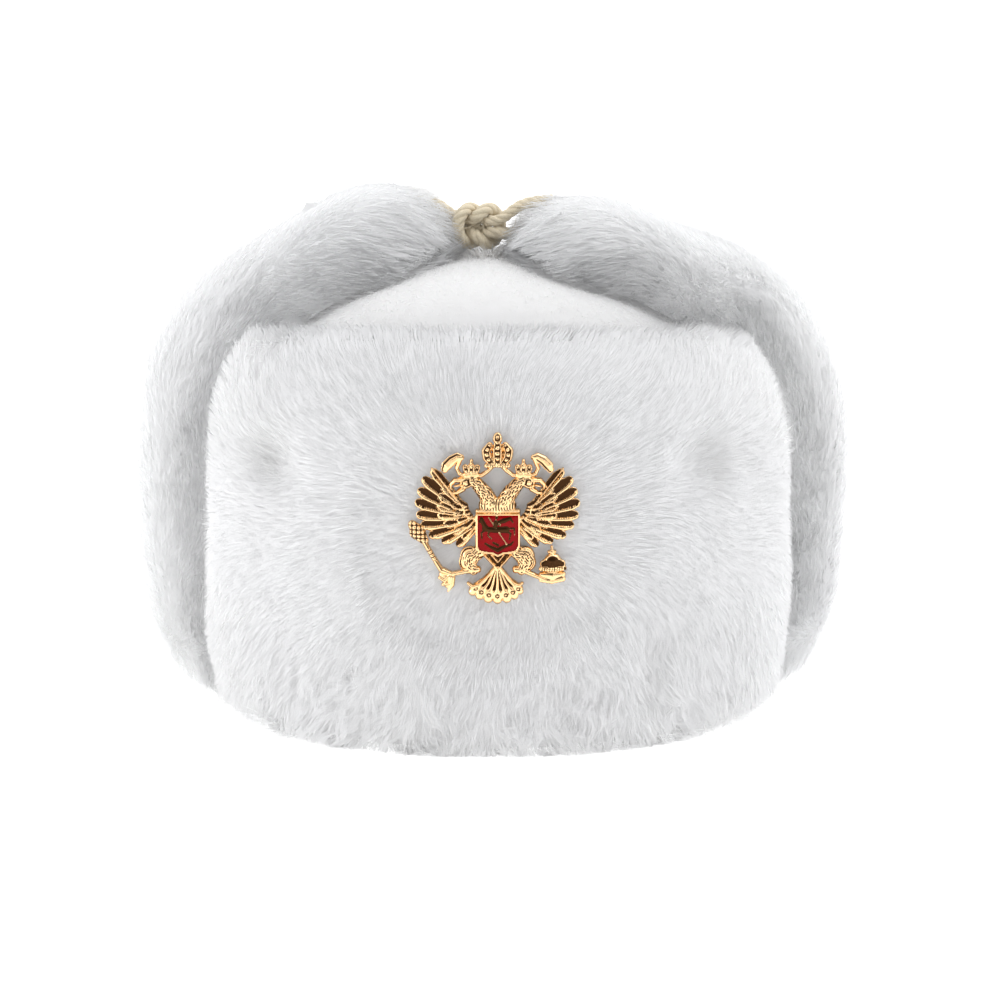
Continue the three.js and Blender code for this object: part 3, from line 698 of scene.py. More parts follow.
def fur_material(name, light, shade, cast):
    """White pile, blended by its tone towards a dark olive that paints shade in creases, dents and under
    the knot, and elsewhere paler, with a cool cast that drifts over it.
    """
    shader = Shader(name)
    tone = shader.attribute("tone")
    drift = shader.noise(11, 3)
    fine = shader.noise(90, 2)
    colour = shader.blend(tone, shade, light)
    colour = shader.blend(0.5 * drift, colour, cast)
    colour = shader.blend(0.02 * fine, colour, shade)
    return shader.finish(grey(0.97), Base_Color=colour, Roughness=0.9, Sheen_Weight=0.15,
                         Sheen_Roughness=0.5, Specular_IOR_Level=0.15)


def behind_badge(points):
    """Keeps the hair behind the badge's back where it lies over it, and lets it stand round the badge."""
    x, z = points[:, 0] - BADGE["x"], points[:, 2] - BADGE["z"]
    over = 1 - smoothstep(np.hypot(x, z), 27, 32)
    back = BADGE_Y + bowed_back(x) + 0.25
    held = mix(points[:, 1], np.maximum(points[:, 1], back), over)
    points[:, 1] = np.where(points[:, 1] < 0, held, points[:, 1])
    return points


def nap_visor(point, up):
    """Up and outwards from the badge, and down where the rim is near."""
    away = point - [BADGE["x"], 0, BADGE["z"]]
    away[:, 1] = 0
    radial = unit(away)
    low = 1 - smoothstep(point[:, 2], 20, 75)
    high = smoothstep(point[:, 2], 100, 135)
    return unit(radial + low[:, None] * [0, 0, -0.9] + high[:, None] * [0, 0, 0.8])


def nap_ear(point, up):
    """Along the flap and a little forwards, turning through the front to hang down over the rim."""
    turn = math.pi * (1 - smoothstep(point[:, 2], 4, 38))[:, None]
    return unit(up * np.cos(turn) + np.array([0, -1.0, 0]) * (0.3 + 0.7 * np.sin(turn)))


def nap_neck(point, up):
    return -up


def lie_in_locks(point, normal, nap_way, tuft, jitters, seed, rng):
    """The way each hair lies: the nap, swirled by noise and turned by the jitter of its two locks."""
    swirl = noise(point, 30, seed) * 0.4 + noise(point, 9, seed + 3) * (0.1 + 0.7 * tuft)
    lie = nap_way + swirl + jitters[0] * (0.05 + 0.4 * tuft) + jitters[1] * (0.05 + 0.15 * tuft)
    return unit(flattened(lie + rng.normal(0, 0.07, lie.shape), normal))


def lie_over_edges(lie, piece, across, along, aside, up):
    """The lie turned out over the side edges, by the piece's spill, and up over the top, and both shares."""
    over_side = smoothstep(across, 0.76, 0.9)[:, None]
    over_top = smoothstep(along, 0.86, 0.95)[:, None]
    past = smoothstep(across, 0.93, 0.985)[:, None]
    spilt = mix(lie, aside * 0.8 + lie * 0.5, over_side * piece.spill * (1 - past))
    lie = unit(spilt + up * 0.6 * over_top)
    return unit(lie + over_top * piece.brush * [0, 0, -0.35]), over_side, over_top


def rise_of(piece, point, step, over_top, shaggy, fringe, tuft, length, rng):
    """How far the hairs stand: a little out of the form, and further where they are ruffled.

    That is in tufts, over the top, at the end of a flap beside the knot, in the fringe at the rim, along the
    flaps' front edges and round the cords, where they leave the flaps.
    """
    count = len(point)
    rise = np.minimum(length * rng.uniform(0.42, 0.56, count),
                      FUR["depth"] + FUR["proud"] + rng.uniform(-0.35, 0.15, count) + 1.6 * tuft)
    rise = rise + 0.5 * over_top + shaggy * rng.uniform(0.5, 6.5, count)
    rise = rise + fringe * rng.uniform(-0.2, 1.8, count)
    rise = rise + piece.brush * smoothstep(-step, 0.55, 0.85) * rng.uniform(0, 3.2, count)
    for side in (-1, 1):
        away = np.linalg.norm(point - cord_route(side)[0], axis=-1)
        rise = rise + piece.brush * 4.5 * np.exp(-((away / 7) ** 2)) * rng.uniform(0.3, 1, count)
    return rise


def grow(piece, nap, count, seed, tufts, darkening):
    """The hairs of one fur piece, combed along the nap and out over its edges, in soft locks.

    tufts says how much the hair at a point is gathered in rough locks, from 0 to 1, and darkening how much
    darker it is: painted shade in the visor's stitch dents, and soft patches from noise on the flaps.
    """
    rng = np.random.default_rng(seed)
    step, share = scatter(piece, count, rng)
    point, normal = piece.frame(step, share)
    across, along, aside, up, off = piece.edges(step, share)
    tuft = tufts(point)
    centre, jitter = lock_centres(point, FUR["lock"], seed)
    fine_centre, fine_jitter = lock_centres(point, FUR["fine_lock"], seed + 50)
    lie = lie_in_locks(point, normal, nap(point, up), tuft[:, None], (jitter, fine_jitter), seed, rng)
    lie, over_side, over_top = lie_over_edges(lie, piece, across, along, aside, up)
    fringe = smoothstep(point[:, 2], 20, 5) * smoothstep(fine_jitter[:, 2], -0.6, 0.4)
    longer = 0.45 * tuft + 0.5 * piece.brush * over_top[:, 0] + 0.4 * fringe
    length = FUR["length"] * rng.uniform(0.75, 1.12, count) * (1 + longer)
    near_knot = smoothstep(np.abs(point[:, 1] - CORD["knot"][1] - 4), 22, 10)
    shaggy = piece.brush * smoothstep(along, 0.955, 0.985) * near_knot
    rise = rise_of(piece, point, step, over_top[:, 0], shaggy, fringe, tuft, length, rng)
    reach = np.sqrt(np.maximum(length**2 - rise**2, 2.0)) * 0.92
    # each hair's tip is drawn towards the middles of its two locks
    gather = (0.05 + 0.6 * tuft)[:, None]
    towards = (centre - point) * gather * 0.5 + (fine_centre - point) * gather
    moved = lie * reach[:, None] + flattened(towards, normal)
    reach = np.linalg.norm(moved, axis=-1)
    width = FUR["width"] * rng.uniform(0.7, 1.25, count)
    shaded = unit(mix(normal, off, np.maximum(over_side, over_top) * 0.85))
    points, faces, shading = hairs(point - normal * FUR["depth"], normal, unit(moved), rise, reach, width,
                                   rng, shaded)
    own = FUR["tone"] + rng.normal(0, 0.006, count) - darkening(point)
    own = own + (0.005 + 0.03 * tuft) * fine_jitter[:, 1]
    # painted shade on the flap's end under the knot
    knot_painted_shade = 0.7 * shaggy * smoothstep(point[:, 2], 181, 169)
    # painted shade along the side edges, by the piece's border, in the seams' valleys
    border = piece.border * smoothstep(across, 0.82, 0.97)
    # roots painted a little darker and tips paler, as shade among the hairs
    tone = np.clip((own - knot_painted_shade - border)[:, None] + [-0.04, 0, 0, 0.03], 0, 1).ravel()
    return points, faces, shading, tone


def build_fur(node, piece, nap, material, count, seed, tufts, darkening, columns=64, after=None):
    """The skin and the hairs of one fur piece as one mesh; after bends its points once more."""
    points, faces = skin_mesh(piece, columns, rows=44, inset=FUR["inset"])
    body = (points, faces, vertex_normals(points, faces), np.full(len(points), FUR["skin_tone"]))
    made = join_parts([body, grow(piece, nap, int(count * THIN), seed, tufts, darkening)])
    if after:
        made[0] = after(made[0])
    dress(node + "_fur", node, "fur", material, *made)


visor_form = FurPiece(VISOR_PROFILE, visor_place, visor_edge, (0.86, 0.78), spill=1.0, border=0.14,
                      shape=press_visor)
neck_form = FurPiece(NECK_PROFILE, neck_place, neck_edge, (0.83, 0.757), spill=0.5)
ear_forms = {
    name: FurPiece(EAR_PROFILE, ear_place(flap), ear_edge(flap), (0.76, 0.86), spill=0.25, brush=1.0)
    for name, flap in EAR_FLAPS.items()
}


def visor_tufts(point):
    """The visor is smooth above and lies in rougher locks along its lower edge, most of all in the middle."""
    low = 1 - smoothstep(point[:, 2], 8, 55)
    wide = 1 - smoothstep(np.abs(point[:, 0] - 4), 45, 110)
    patches = 0.6 + 0.4 * smoothstep(noise(point, 16, 5)[:, 0], -0.3, 0.5)
    return low * (0.3 + 0.7 * wide) * patches


def visor_dent_painted_shade(point):
    """Painted shade in the dents where the stitches pull the fur in, and in the small partings low at the
    right.
    """
    painted_shade = 0
    for x, z, radius, depth in VISOR_DENTS:
        away = np.hypot(point[:, 0] - x, point[:, 2] - z) / (0.75 * radius)
        painted_shade = painted_shade + 0.065 * depth * np.exp(-away * away)
    return painted_shade * (point[:, 1] < 0)


def ear_tufts(point):
    """A few loose locks, most of them where the flap, the visor and the crown meet."""
    corner = np.exp(-(((point - [0, -72, 138]) * [0, 1, 1]) ** 2).sum(-1) / 900)
    corner = corner * smoothstep(np.abs(point[:, 0]), 55, 70)
    return np.clip(0.16 * smoothstep(noise(point, 30, 9)[:, 0], -0.1, 0.7) + 0.45 * corner, 0, 1)


def ear_dark_patches(point):
    # darker in soft patches, from noise
    return 0.03 * smoothstep(noise(point, 40, 12)[:, 1], 0, 0.8)


flap_fur = fur_material("white_fur", (0.99, 0.99, 0.985, 1), (0.10, 0.09, 0.06, 1), (0.96, 0.97, 0.99, 1))
# the visor's copy is painted darker than the flaps', as shade where the visor takes more light than the flaps
visor_fur_painted_shade = fur_material("visor_fur_painted_shade", (0.93, 0.93, 0.925, 1), (0.10, 0.09, 0.06, 1), (0.91, 0.915, 0.935, 1))
build_fur("front_visor", visor_form, nap_visor, visor_fur_painted_shade, HAIRS["front_visor"], 11, visor_tufts,
          visor_dent_painted_shade, columns=84, after=behind_badge)
for node, form in ear_forms.items():
    build_fur(node, form, nap_ear, flap_fur, HAIRS["ear_flap"], 21, ear_tufts, ear_dark_patches)
build_fur("neck_flap", neck_form, nap_neck, flap_fur, HAIRS["neck_flap"], 31, ear_tufts, ear_dark_patches)

# Crown: short plush outside, a plain cloth inside
PLUSH = {"depth": 1.1, "inset": 0.7, "length": 2.5, "width": 0.2}


def crown_surface(angle, section, lift):
    """The crown's face moved out by lift, with its rim kept just off the ground."""
    point = crown_point(angle, section) + crown_normal(angle, section) * lift
    point[..., 2] = np.where(section <= 0, 0.3, point[..., 2])
    return point


def crown_shell():
    """Rings from the top down the outside and up the inside again, closed at both tops."""
    around, outer_rows, inner_rows = 128, 56, 40
    angle = np.linspace(0, 2 * math.pi, around + 1)[:-1]
    down = np.linspace(0.995, 0, outer_rows)
    up = np.linspace(0, 0.995, inner_rows)
    outside = crown_surface(*np.meshgrid(angle, down), -PLUSH["inset"])
    inside = crown_surface(*np.meshgrid(angle, up), -CROWN_WALL)
    rings = np.concatenate([outside, inside])
    tops = rings[[0, -1]].mean(1)
    points = np.concatenate([rings.reshape(-1, 3), tops])
    inner = np.repeat(np.arange(len(rings)) >= outer_rows, around)
    return points, outward(points, capped_faces(len(rings), around)), np.append(inner, [False, True])


def crown_pile(count, seed):
    """Short even pile where the flaps leave the crown bare, lying outwards and down.

    Under the knot it is longer and stands up, and is painted dark with a brown tint as the knot's shadow.
    """
    rng = np.random.default_rng(seed)
    angle = rng.uniform(0, 2 * math.pi, count * 4)
    section = 1 - np.sqrt(rng.uniform(0, 1, count * 4)) * 0.6
    point = crown_point(angle, section)
    bare = (np.abs(point[:, 1]) > 34) | (np.abs(point[:, 0]) < 24)
    kept = np.flatnonzero(bare)[:count]
    angle, section, point = angle[kept], section[kept], point[kept]
    count = len(kept)
    normal = crown_normal(angle, section)
    root = point - normal * PLUSH["depth"]
    lie = unit(point * [1, 1, 0]) * 0.8 + [0, 0, -0.5] + noise(point, 22, seed) * 0.3
    lie = unit(flattened(lie + rng.normal(0, 0.12, (count, 3)), normal))
    length = PLUSH["length"] * rng.uniform(0.8, 1.1, count)
    from_knot = np.linalg.norm((point - CORD["knot"]) * [1, 0.7, 1], axis=-1)
    under = smoothstep(from_knot, 20, 11)
    length = length * (1 + 2.2 * under)
    rise = PLUSH["depth"] + rng.uniform(-0.25, 0.3, count) + under * rng.uniform(0, 5, count)
    reach = np.sqrt(np.maximum(length**2 - rise**2, 0.4))
    width = PLUSH["width"] * rng.uniform(0.7, 1.2, count)
    points, faces, shading = hairs(root, normal, lie, rise, reach, width, rng, normal, own=0.02)
    # painted shade under the knot; the roots a little darker and the tips paler, as painted shade among the
    # hairs
    own = FUR["tone"] + rng.normal(0, 0.008, count) - 0.9 * under
    return points, faces, shading, np.clip(own[:, None] + [-0.02, 0, 0, 0.02], 0, 1).ravel()


def lining_cloth():
    shader = Shader("lining_cloth")
    weave = shader.noise(900, 2, (1, 1, 3))
    colour = shader.blend(weave, (0.80, 0.79, 0.76, 1), (0.88, 0.87, 0.85, 1))
    return shader.finish(Base_Color=colour, Roughness=0.8, Normal=shader.bump(weave, 0.3, 0.0004))


def build_crown():
    points, faces, inner = crown_shell()
    shell = (points, faces, vertex_normals(points, faces), np.full(len(points), FUR["skin_tone"]))
    pile = crown_pile(int(HAIRS["crown"] * THIN), 41)
    plush = fur_material("white_plush", grey(0.95), (0.10, 0.085, 0.05, 1), (0.96, 0.96, 0.98, 1))
    made = dress("crown_plush", "crown", "plush", plush, *join_parts([shell, pile]))
    made.data.materials.append(lining_cloth())
    lined = np.zeros(len(made.data.polygons), np.int32)
    lined[: len(faces)] = inner[faces].all(1)
    made.data.polygons.foreach_set("material_index", lined)


build_crown()

# Badge: a gilt eagle with two heads, pierced between its parts, as a relief on an even grid.
# The tables are in GRID units from the middle of the wings; heights are millimetres from the badge's back.
GRID = 0.435
CAST = {"spacing": 0.225, "edge": 0.85, "field": 1.9, "enamel": 2.75, "frame": 3.35, "rim": 0.75}
# root x, root y, tip x, tip y, half width, share of it that is a hollow painted in shade
FLIGHT_FEATHERS = [
    (26, 9, 51.5, 38, 4.4, 0.64), (27, 7, 58.5, 31, 5.0, 0.66), (28, 5, 62, 21.5, 5.1, 0.66),
    (28, 3, 64, 12, 5.1, 0.66), (27, 0.5, 63, 2, 4.9, 0.62), (25, -2, 59.5, -6.5, 4.8, 0.58),
    (22, -4, 53, -14.5, 4.7, 0.54), (20, -6, 42.5, -19, 4.3, 0.52), (16, -6.5, 31, -21.5, 3.9, 0.52),
]
COVERTS = [
    (26, 10, 42.5, 24.5, 3.6, 0.62), (26.5, 7.5, 45.5, 17.5, 3.7, 0.64), (26, 5, 46.5, 9.5, 3.7, 0.64),
    (25, 2.5, 45.5, 2, 3.5, 0.58), (23, 0, 41, -5.5, 3.4, 0.52), (20, -2.5, 33.5, -11.5, 3.2, 0.52),
    (17, -4, 26.5, -15.5, 2.8, 0.52),
]
SCAPULARS = [
    (25, 10.5, 34.5, 16, 2.5, 0.57), (24.5, 8, 35.5, 10, 2.6, 0.57), (23, 5, 34, 4, 2.6, 0.57),
    (21, 2, 30.5, -2, 2.5, 0.54), (18, 0, 25.5, -7, 2.4, 0.54),
]
TAIL_FEATHERS = [
    (-19.5, -58.5, 4.2), (-14, -61.5, 4.4), (-7.3, -63.8, 4.6), (0, -64.5, 4.7), (7.3, -63.8, 4.6),
    (13.3, -61.3, 4.3), (17.6, -57.8, 3.9),
]
# Strips of x, y, half width and height, with how square their section is and what is cut in them.
# The first list is built on both sides, as seen at the right.
PAIRED = [
    (1.4, None, [(16, 0, 1.6, 2.6), (21.5, 0.6, 1.5, 2.8), (25.8, 3.5, 1.4, 2.9), (26.3, 8, 1.3, 2.9),
                 (51.5, 39, 1.0, 2.2)]),
    (2.0, "slashes", [(4.8, 12, 6.6, 3.4), (10, 20.5, 6.2, 3.6), (15.5, 27, 5.2, 3.3), (20, 30.5, 4.0, 2.9)]),
    (2.0, "lobe", [(20.5, 29.5, 3.6, 3.0), (24.5, 28.5, 4.9, 3.3), (25.5, 28.5, 4.6, 3.2)]),
    (2.0, None, [(27.6, 26.2, 1.6, 3.7), (28.2, 26.2, 1.5, 3.7)]),
    (2.0, None, [(28, 30.8, 2.4, 3.1), (33.5, 30.4, 2.0, 2.9), (36.8, 27, 1.6, 2.5), (36.6, 23.6, 0.9, 2.0)]),
    (2.0, None, [(27, 23.5, 2.3, 2.9), (31.5, 20.6, 1.7, 2.7), (34.6, 20.2, 1.0, 2.2)]),
    (2.0, None, [(30, 26.5, 1.0, 2.6), (33.4, 25.6, 0.8, 2.3)]),
    (2.0, None, [(15.6, 35.4, 1.7, 2.8), (25.4, 35.4, 1.7, 2.8)]),
    (2.0, "lobe", [(24.4, 37.2, 2.2, 2.6), (25.2, 40.8, 2.3, 2.5)]),
    (2.0, "lobe", [(20.5, 37, 2.4, 3.0), (20.5, 41.8, 2.6, 2.8)]),
    (2.0, "lobe", [(16.6, 37.2, 2.2, 2.6), (15.8, 40.8, 2.3, 2.5)]),
    (2.0, None, [(20.5, 44, 1.5, 2.5), (20.5, 46, 1.4, 2.3)]),
    (2.0, None, [(4, 41.6, 1.8, 2.6), (7.5, 38, 1.7, 2.6), (12, 34.6, 1.7, 2.5), (17, 33.6, 1.5, 2.4),
                 (25, 33.4, 1.5, 2.3), (30, 35.6, 1.5, 2.3), (32, 40, 1.6, 2.3), (30.2, 44.5, 1.8, 2.3),
                 (28.6, 48.6, 1.9, 2.5)]),
    (3.0, "fold", [(28.4, 48.6, 2.3, 2.5), (31.5, 48.8, 3.3, 2.7), (36, 46, 3.9, 2.6), (40, 41.8, 4.0, 2.4),
                   (41.6, 38.8, 2.8, 1.9)]),
    (2.0, "lobe", [(4.2, 43.6, 2.4, 2.8), (8, 48.5, 3.8, 3.3), (8.8, 53.5, 3.9, 3.4), (6.2, 58.4, 2.4, 2.8)]),
    (2.0, "slashes", [(14, -26.5, 5.0, 2.7), (21.5, -30, 8.0, 3.4), (23.5, -35, 7.0, 3.2),
                      (19, -41, 4.2, 2.8)]),
]
SINGLE = [
    (3.0, "strokes", [(-8.5, 10.7, 6.4, 3.2), (0, 9.8, 6.6, 3.6), (8.5, 10.7, 6.4, 3.2)]),
    (3.0, None, [(-16, 6.4, 1.5, 3.3), (16.5, 6.4, 1.5, 3.3)]),
    (3.0, "beads", [(-8.6, 42.4, 1.9, 3.1), (8.6, 42.4, 1.9, 3.1)]),
    (2.0, "lobe", [(0, 43.5, 2.8, 3.1), (0, 49, 4.2, 3.7), (0, 55, 4.3, 3.7), (0, 60.2, 2.8, 3.1)]),
    (2.0, "lobe", [(0, 60.5, 2.2, 2.7), (0, 63.4, 3.9, 3.4), (0, 65.2, 3.2, 2.8)]),
    # the two chevrons below the shield
    (1.3, None, [(-10.5, -28.6, 1.5, 2.9), (0.3, -40.2, 1.5, 2.9), (10.7, -28.6, 1.5, 2.9)]),
    (1.3, None, [(-4.8, -28.6, 1.2, 2.6), (0.3, -34.6, 1.2, 2.6), (5.2, -28.6, 1.2, 2.6)]),
    # the tail's curled outer edges
    (2.0, None, [(-2.5, -39.5, 1.7, 2.6), (-8, -46.5, 1.6, 2.6), (-14.5, -52.6, 1.7, 2.6),
                 (-19.6, -54.4, 1.9, 2.7), (-23, -51.8, 1.3, 2.3)]),
    (2.0, None, [(2.5, -39.5, 1.7, 2.6), (8, -46.5, 1.6, 2.6), (13, -51.8, 1.7, 2.6),
                 (16.6, -53.4, 1.8, 2.7), (19.6, -51.6, 1.2, 2.3)]),
    # the foot at the left, its toes, and the sceptre
    (2.0, None, [(-15.5, -40.6, 2.8, 2.7), (-25, -42.2, 2.0, 2.5), (-36, -44.4, 1.9, 2.5),
                 (-43, -41.8, 2.7, 2.9)]),
    (2.0, None, [(-38, -46, 1.8, 2.5), (-41.5, -50, 1.9, 2.6), (-45.5, -47.5, 1.5, 2.3)]),
    (2.0, None, [(-36.5, -46.5, 1.9, 2.6), (-38, -51.5, 1.9, 2.6), (-43, -53, 1.4, 2.3)]),
    (2.0, None, [(-35, -47, 2.0, 2.4), (-36, -53, 2.2, 2.3), (-39, -58.3, 0.8, 1.7)]),
    (2.0, None, [(-42.5, -45, 3.6, 2.1), (-38.5, -52, 4.2, 2.0)]),
    (2.0, "rings", [(-57.5, -19.5, 2.2, 2.7), (-50.5, -31.5, 2.1, 2.7), (-44.5, -41, 2.3, 2.9)]),
    (2.0, "knobs", [(-57.5, -18.5, 3.4, 2.8), (-63, -11.5, 6.6, 3.3), (-67, -6, 3.6, 2.6)]),
    # the foot at the right, its toes, and the orb
    (2.0, None, [(14.5, -40.6, 3.0, 2.7), (20, -41.4, 2.1, 2.5), (28, -44.8, 2.0, 2.5),
                 (40, -49.8, 1.8, 2.5)]),
    (3.0, None, [(34.5, -49.2, 1.9, 2.4), (43, -49.9, 2.6, 2.5), (51, -48.2, 2.8, 2.5)]),
    (2.0, None, [(34.6, -44.8, 2.0, 2.2), (43.5, -45.6, 4.6, 3.0), (52, -44.8, 2.0, 2.2)]),
    (2.4, "dome", [(36.6, -36.6, 3.2, 2.3), (43.5, -34.8, 7.0, 3.6), (50.6, -36.6, 3.2, 2.3)]),
    (3.0, "beads", [(34.2, -40.0, 1.8, 3.2), (43.5, -40.8, 2.0, 3.9), (52.8, -40.0, 1.8, 3.2)]),
    (2.0, None, [(43, -30, 2.2, 2.6), (42.9, -26.4, 1.7, 2.5), (42.8, -22.8, 1.0, 2.0)]),
    (2.0, None, [(40.4, -26.8, 1.2, 2.4), (45.4, -26.8, 1.2, 2.4)]),
]
SHIELD_OUTLINE = [
    (-17.5, 4.7), (-17.5, -22), (-15.5, -26.3), (-10, -27.8), (-4, -28.3), (0.3, -30.5),
    (4.5, -28.3), (10.5, -27.8), (16, -26.3), (18, -22), (18, 4.7),
]
# The rider with a lance on a horse, and the serpent: strips that stand in the enamel
RIDER = [
    (2.0, [(-6.8, 1.2, 0.6, 3.3), (7.2, -19.8, 0.5, 3.3)]),
    (2.0, [(-10, -7.5, 2.4, 3.1), (-3, -8.6, 2.2, 3.2), (6.8, -8.2, 2.7, 3.3)]),
    (2.0, [(-9, -7, 2.2, 3.2), (-11.6, -2.4, 1.8, 3.2), (-12.4, 0.4, 1.6, 3.1), (-14, -2.2, 1.0, 3.0)]),
    (2.0, [(-1.8, -6, 1.7, 3.3), (-1.2, -2.4, 1.8, 3.4)]),
    (2.0, [(-0.7, 1.3, 1.25, 3.4), (-0.5, 1.6, 1.2, 3.4)]),
    (2.0, [(-1.6, -3, 0.7, 3.4), (2.2, -4.6, 0.7, 3.4)]),
    (2.0, [(0.5, -2.6, 1.5, 3.0), (5, -1.2, 2.2, 3.1), (10, 0.6, 1.5, 3.0), (12.3, -2.6, 0.9, 2.9)]),
    (2.0, [(-9.4, -8.6, 1.2, 3.1), (-12.6, -10.6, 0.9, 3.0), (-12.2, -15.2, 0.8, 3.0)]),
    (2.0, [(-6.4, -9.6, 1.1, 3.1), (-7.6, -13, 0.8, 3.0), (-4.6, -15.6, 0.7, 3.0)]),
    (2.0, [(6.6, -9.2, 1.4, 3.1), (10.4, -11.4, 1.0, 3.0), (9.4, -16, 0.8, 3.0)]),
    (2.0, [(9.2, -7.4, 0.9, 3.1), (13, -7.2, 1.0, 3.0), (13.6, -12.6, 0.6, 2.9)]),
    (2.0, [(-9.5, -19.4, 1.1, 3.0), (-5, -22.2, 1.4, 3.1), (0.3, -24.6, 1.8, 3.2), (5.5, -21.6, 1.5, 3.1),
           (10.6, -20, 1.2, 3.0), (12.6, -17.6, 0.7, 2.9)]),
    (2.0, [(-3.4, -18.6, 1.0, 3.0), (0.4, -20.6, 1.3, 3.1)]),
]


def strip_places(x, y, rows):
    """Where points lie on a strip: how far inside its edge, how far along it, across it in half widths, how
    high it is there and its half width.

    Each point takes the segment that it is deepest in; the half width and height run straight between rows.
    """
    rows = np.asarray(rows, float)
    rows[:, :3] *= GRID
    start, end = rows[:-1, :, None, None], rows[1:, :, None, None]
    run = end - start
    length = np.hypot(run[:, 0], run[:, 1])
    share = np.clip(((x - start[:, 0]) * run[:, 0] + (y - start[:, 1]) * run[:, 1]) / length**2, 0, 1)
    off_x, off_y = x - start[:, 0] - share * run[:, 0], y - start[:, 1] - share * run[:, 1]
    away = np.hypot(off_x, off_y)
    half, high = start[:, 2] + share * run[:, 2], start[:, 3] + share * run[:, 3]
    side = np.sign(run[:, 0] * off_y - run[:, 1] * off_x)
    before = np.concatenate([[0], np.cumsum(length[:-1, 0, 0])])[:, None, None]
    deepest = (half - away).argmax(0)[None]
    found = half - away, before + share * length, side * away / half, high, half
    return [np.take_along_axis(values, deepest, 0)[0] for values in found]


def wave(phase):
    """From 1 to 0 and back once in each unit of the phase, as a cosine."""
    return 0.5 + 0.5 * np.cos(2 * math.pi * phase)


def rounded(across, square):
    """The rise of a section where |across|^square + rise^square = 1."""
    return np.maximum(1 - np.minimum(np.abs(across), 1) ** square, 0) ** (1 / square)


def cut(kind, along, across, half, x, y):
    """What is cut into a strip: how deep in millimetres, and how much painted shade it gets."""
    if kind == "strokes":
        blade = wave(x / 0.95 + 0.12 * np.sin(y * 1.7))
        low = smoothstep(blade, 0.62, 0.3)
        return 0.35 * low, 0.9 * low
    if kind == "slashes":
        lane = across * half / 0.78 + 0.3 * np.sin(along * 1.9)
        broken = smoothstep(wave(along / 2.3 + 0.37 * np.floor(lane)), 0.12, 0.4)
        low = smoothstep(wave(lane), 0.66, 0.34) * broken
        return 0.35 * low, 0.95 * low
    if kind == "rings":
        ring = smoothstep(wave(along / 1.3), 0.4, 0.1) * (np.abs(along - 5.0) < 2.2)
        shade = smoothstep(np.abs(across - 0.25), 0.35, 0.15) * (np.abs(along - 5.0) > 2.4)
        return 0.3 * ring, np.maximum(0.8 * ring, 0.65 * shade) * (np.abs(across) < 0.8)
    if kind == "beads":
        bead = wave(along / 0.85) * (1 - across**2)
        return 0.3 * (1 - smoothstep(bead, 0.1, 0.5)), 0.8 * (1 - smoothstep(bead, 0.1, 0.4))
    if kind == "knobs":
        knob = wave(x / 1.5) * wave(y / 1.5 + 0.25)
        return 0.45 * (1 - smoothstep(knob, 0.05, 0.5)), 0.8 * (1 - smoothstep(knob, 0.02, 0.3))
    if kind == "lobe":
        hollow = smoothstep(np.abs(across), 0.68, 0.5)
        boss = wave(along / 1.9) * (np.abs(across) < 0.35)
        return 0.4 * hollow - 0.45 * boss * hollow, 0.85 * hollow * (1 - boss)
    if kind == "fold":
        fold = smoothstep(across, -0.25, -0.5) * smoothstep(across, -0.95, -0.7)
        return 0.35 * fold, 0.75 * fold
    if kind == "dome":
        hollow = smoothstep(np.abs(across), 0.85, 0.65)
        return 0.12 * hollow, 0.75 * hollow
    if kind == "tail":
        groove = smoothstep(np.abs(across), 0.22, 0.38) * smoothstep(np.abs(across), 0.9, 0.7)
        groove = groove * smoothstep(along, 9.2, 7.6)
        boss = smoothstep(np.abs(np.hypot(across * half, along - 10.2) - 0.55), 0.3, 0.12)
        return 0.3 * groove + 0.2 * boss, 0.95 * np.maximum(groove, 0.8 * boss)
    return np.zeros_like(x), np.zeros_like(x)


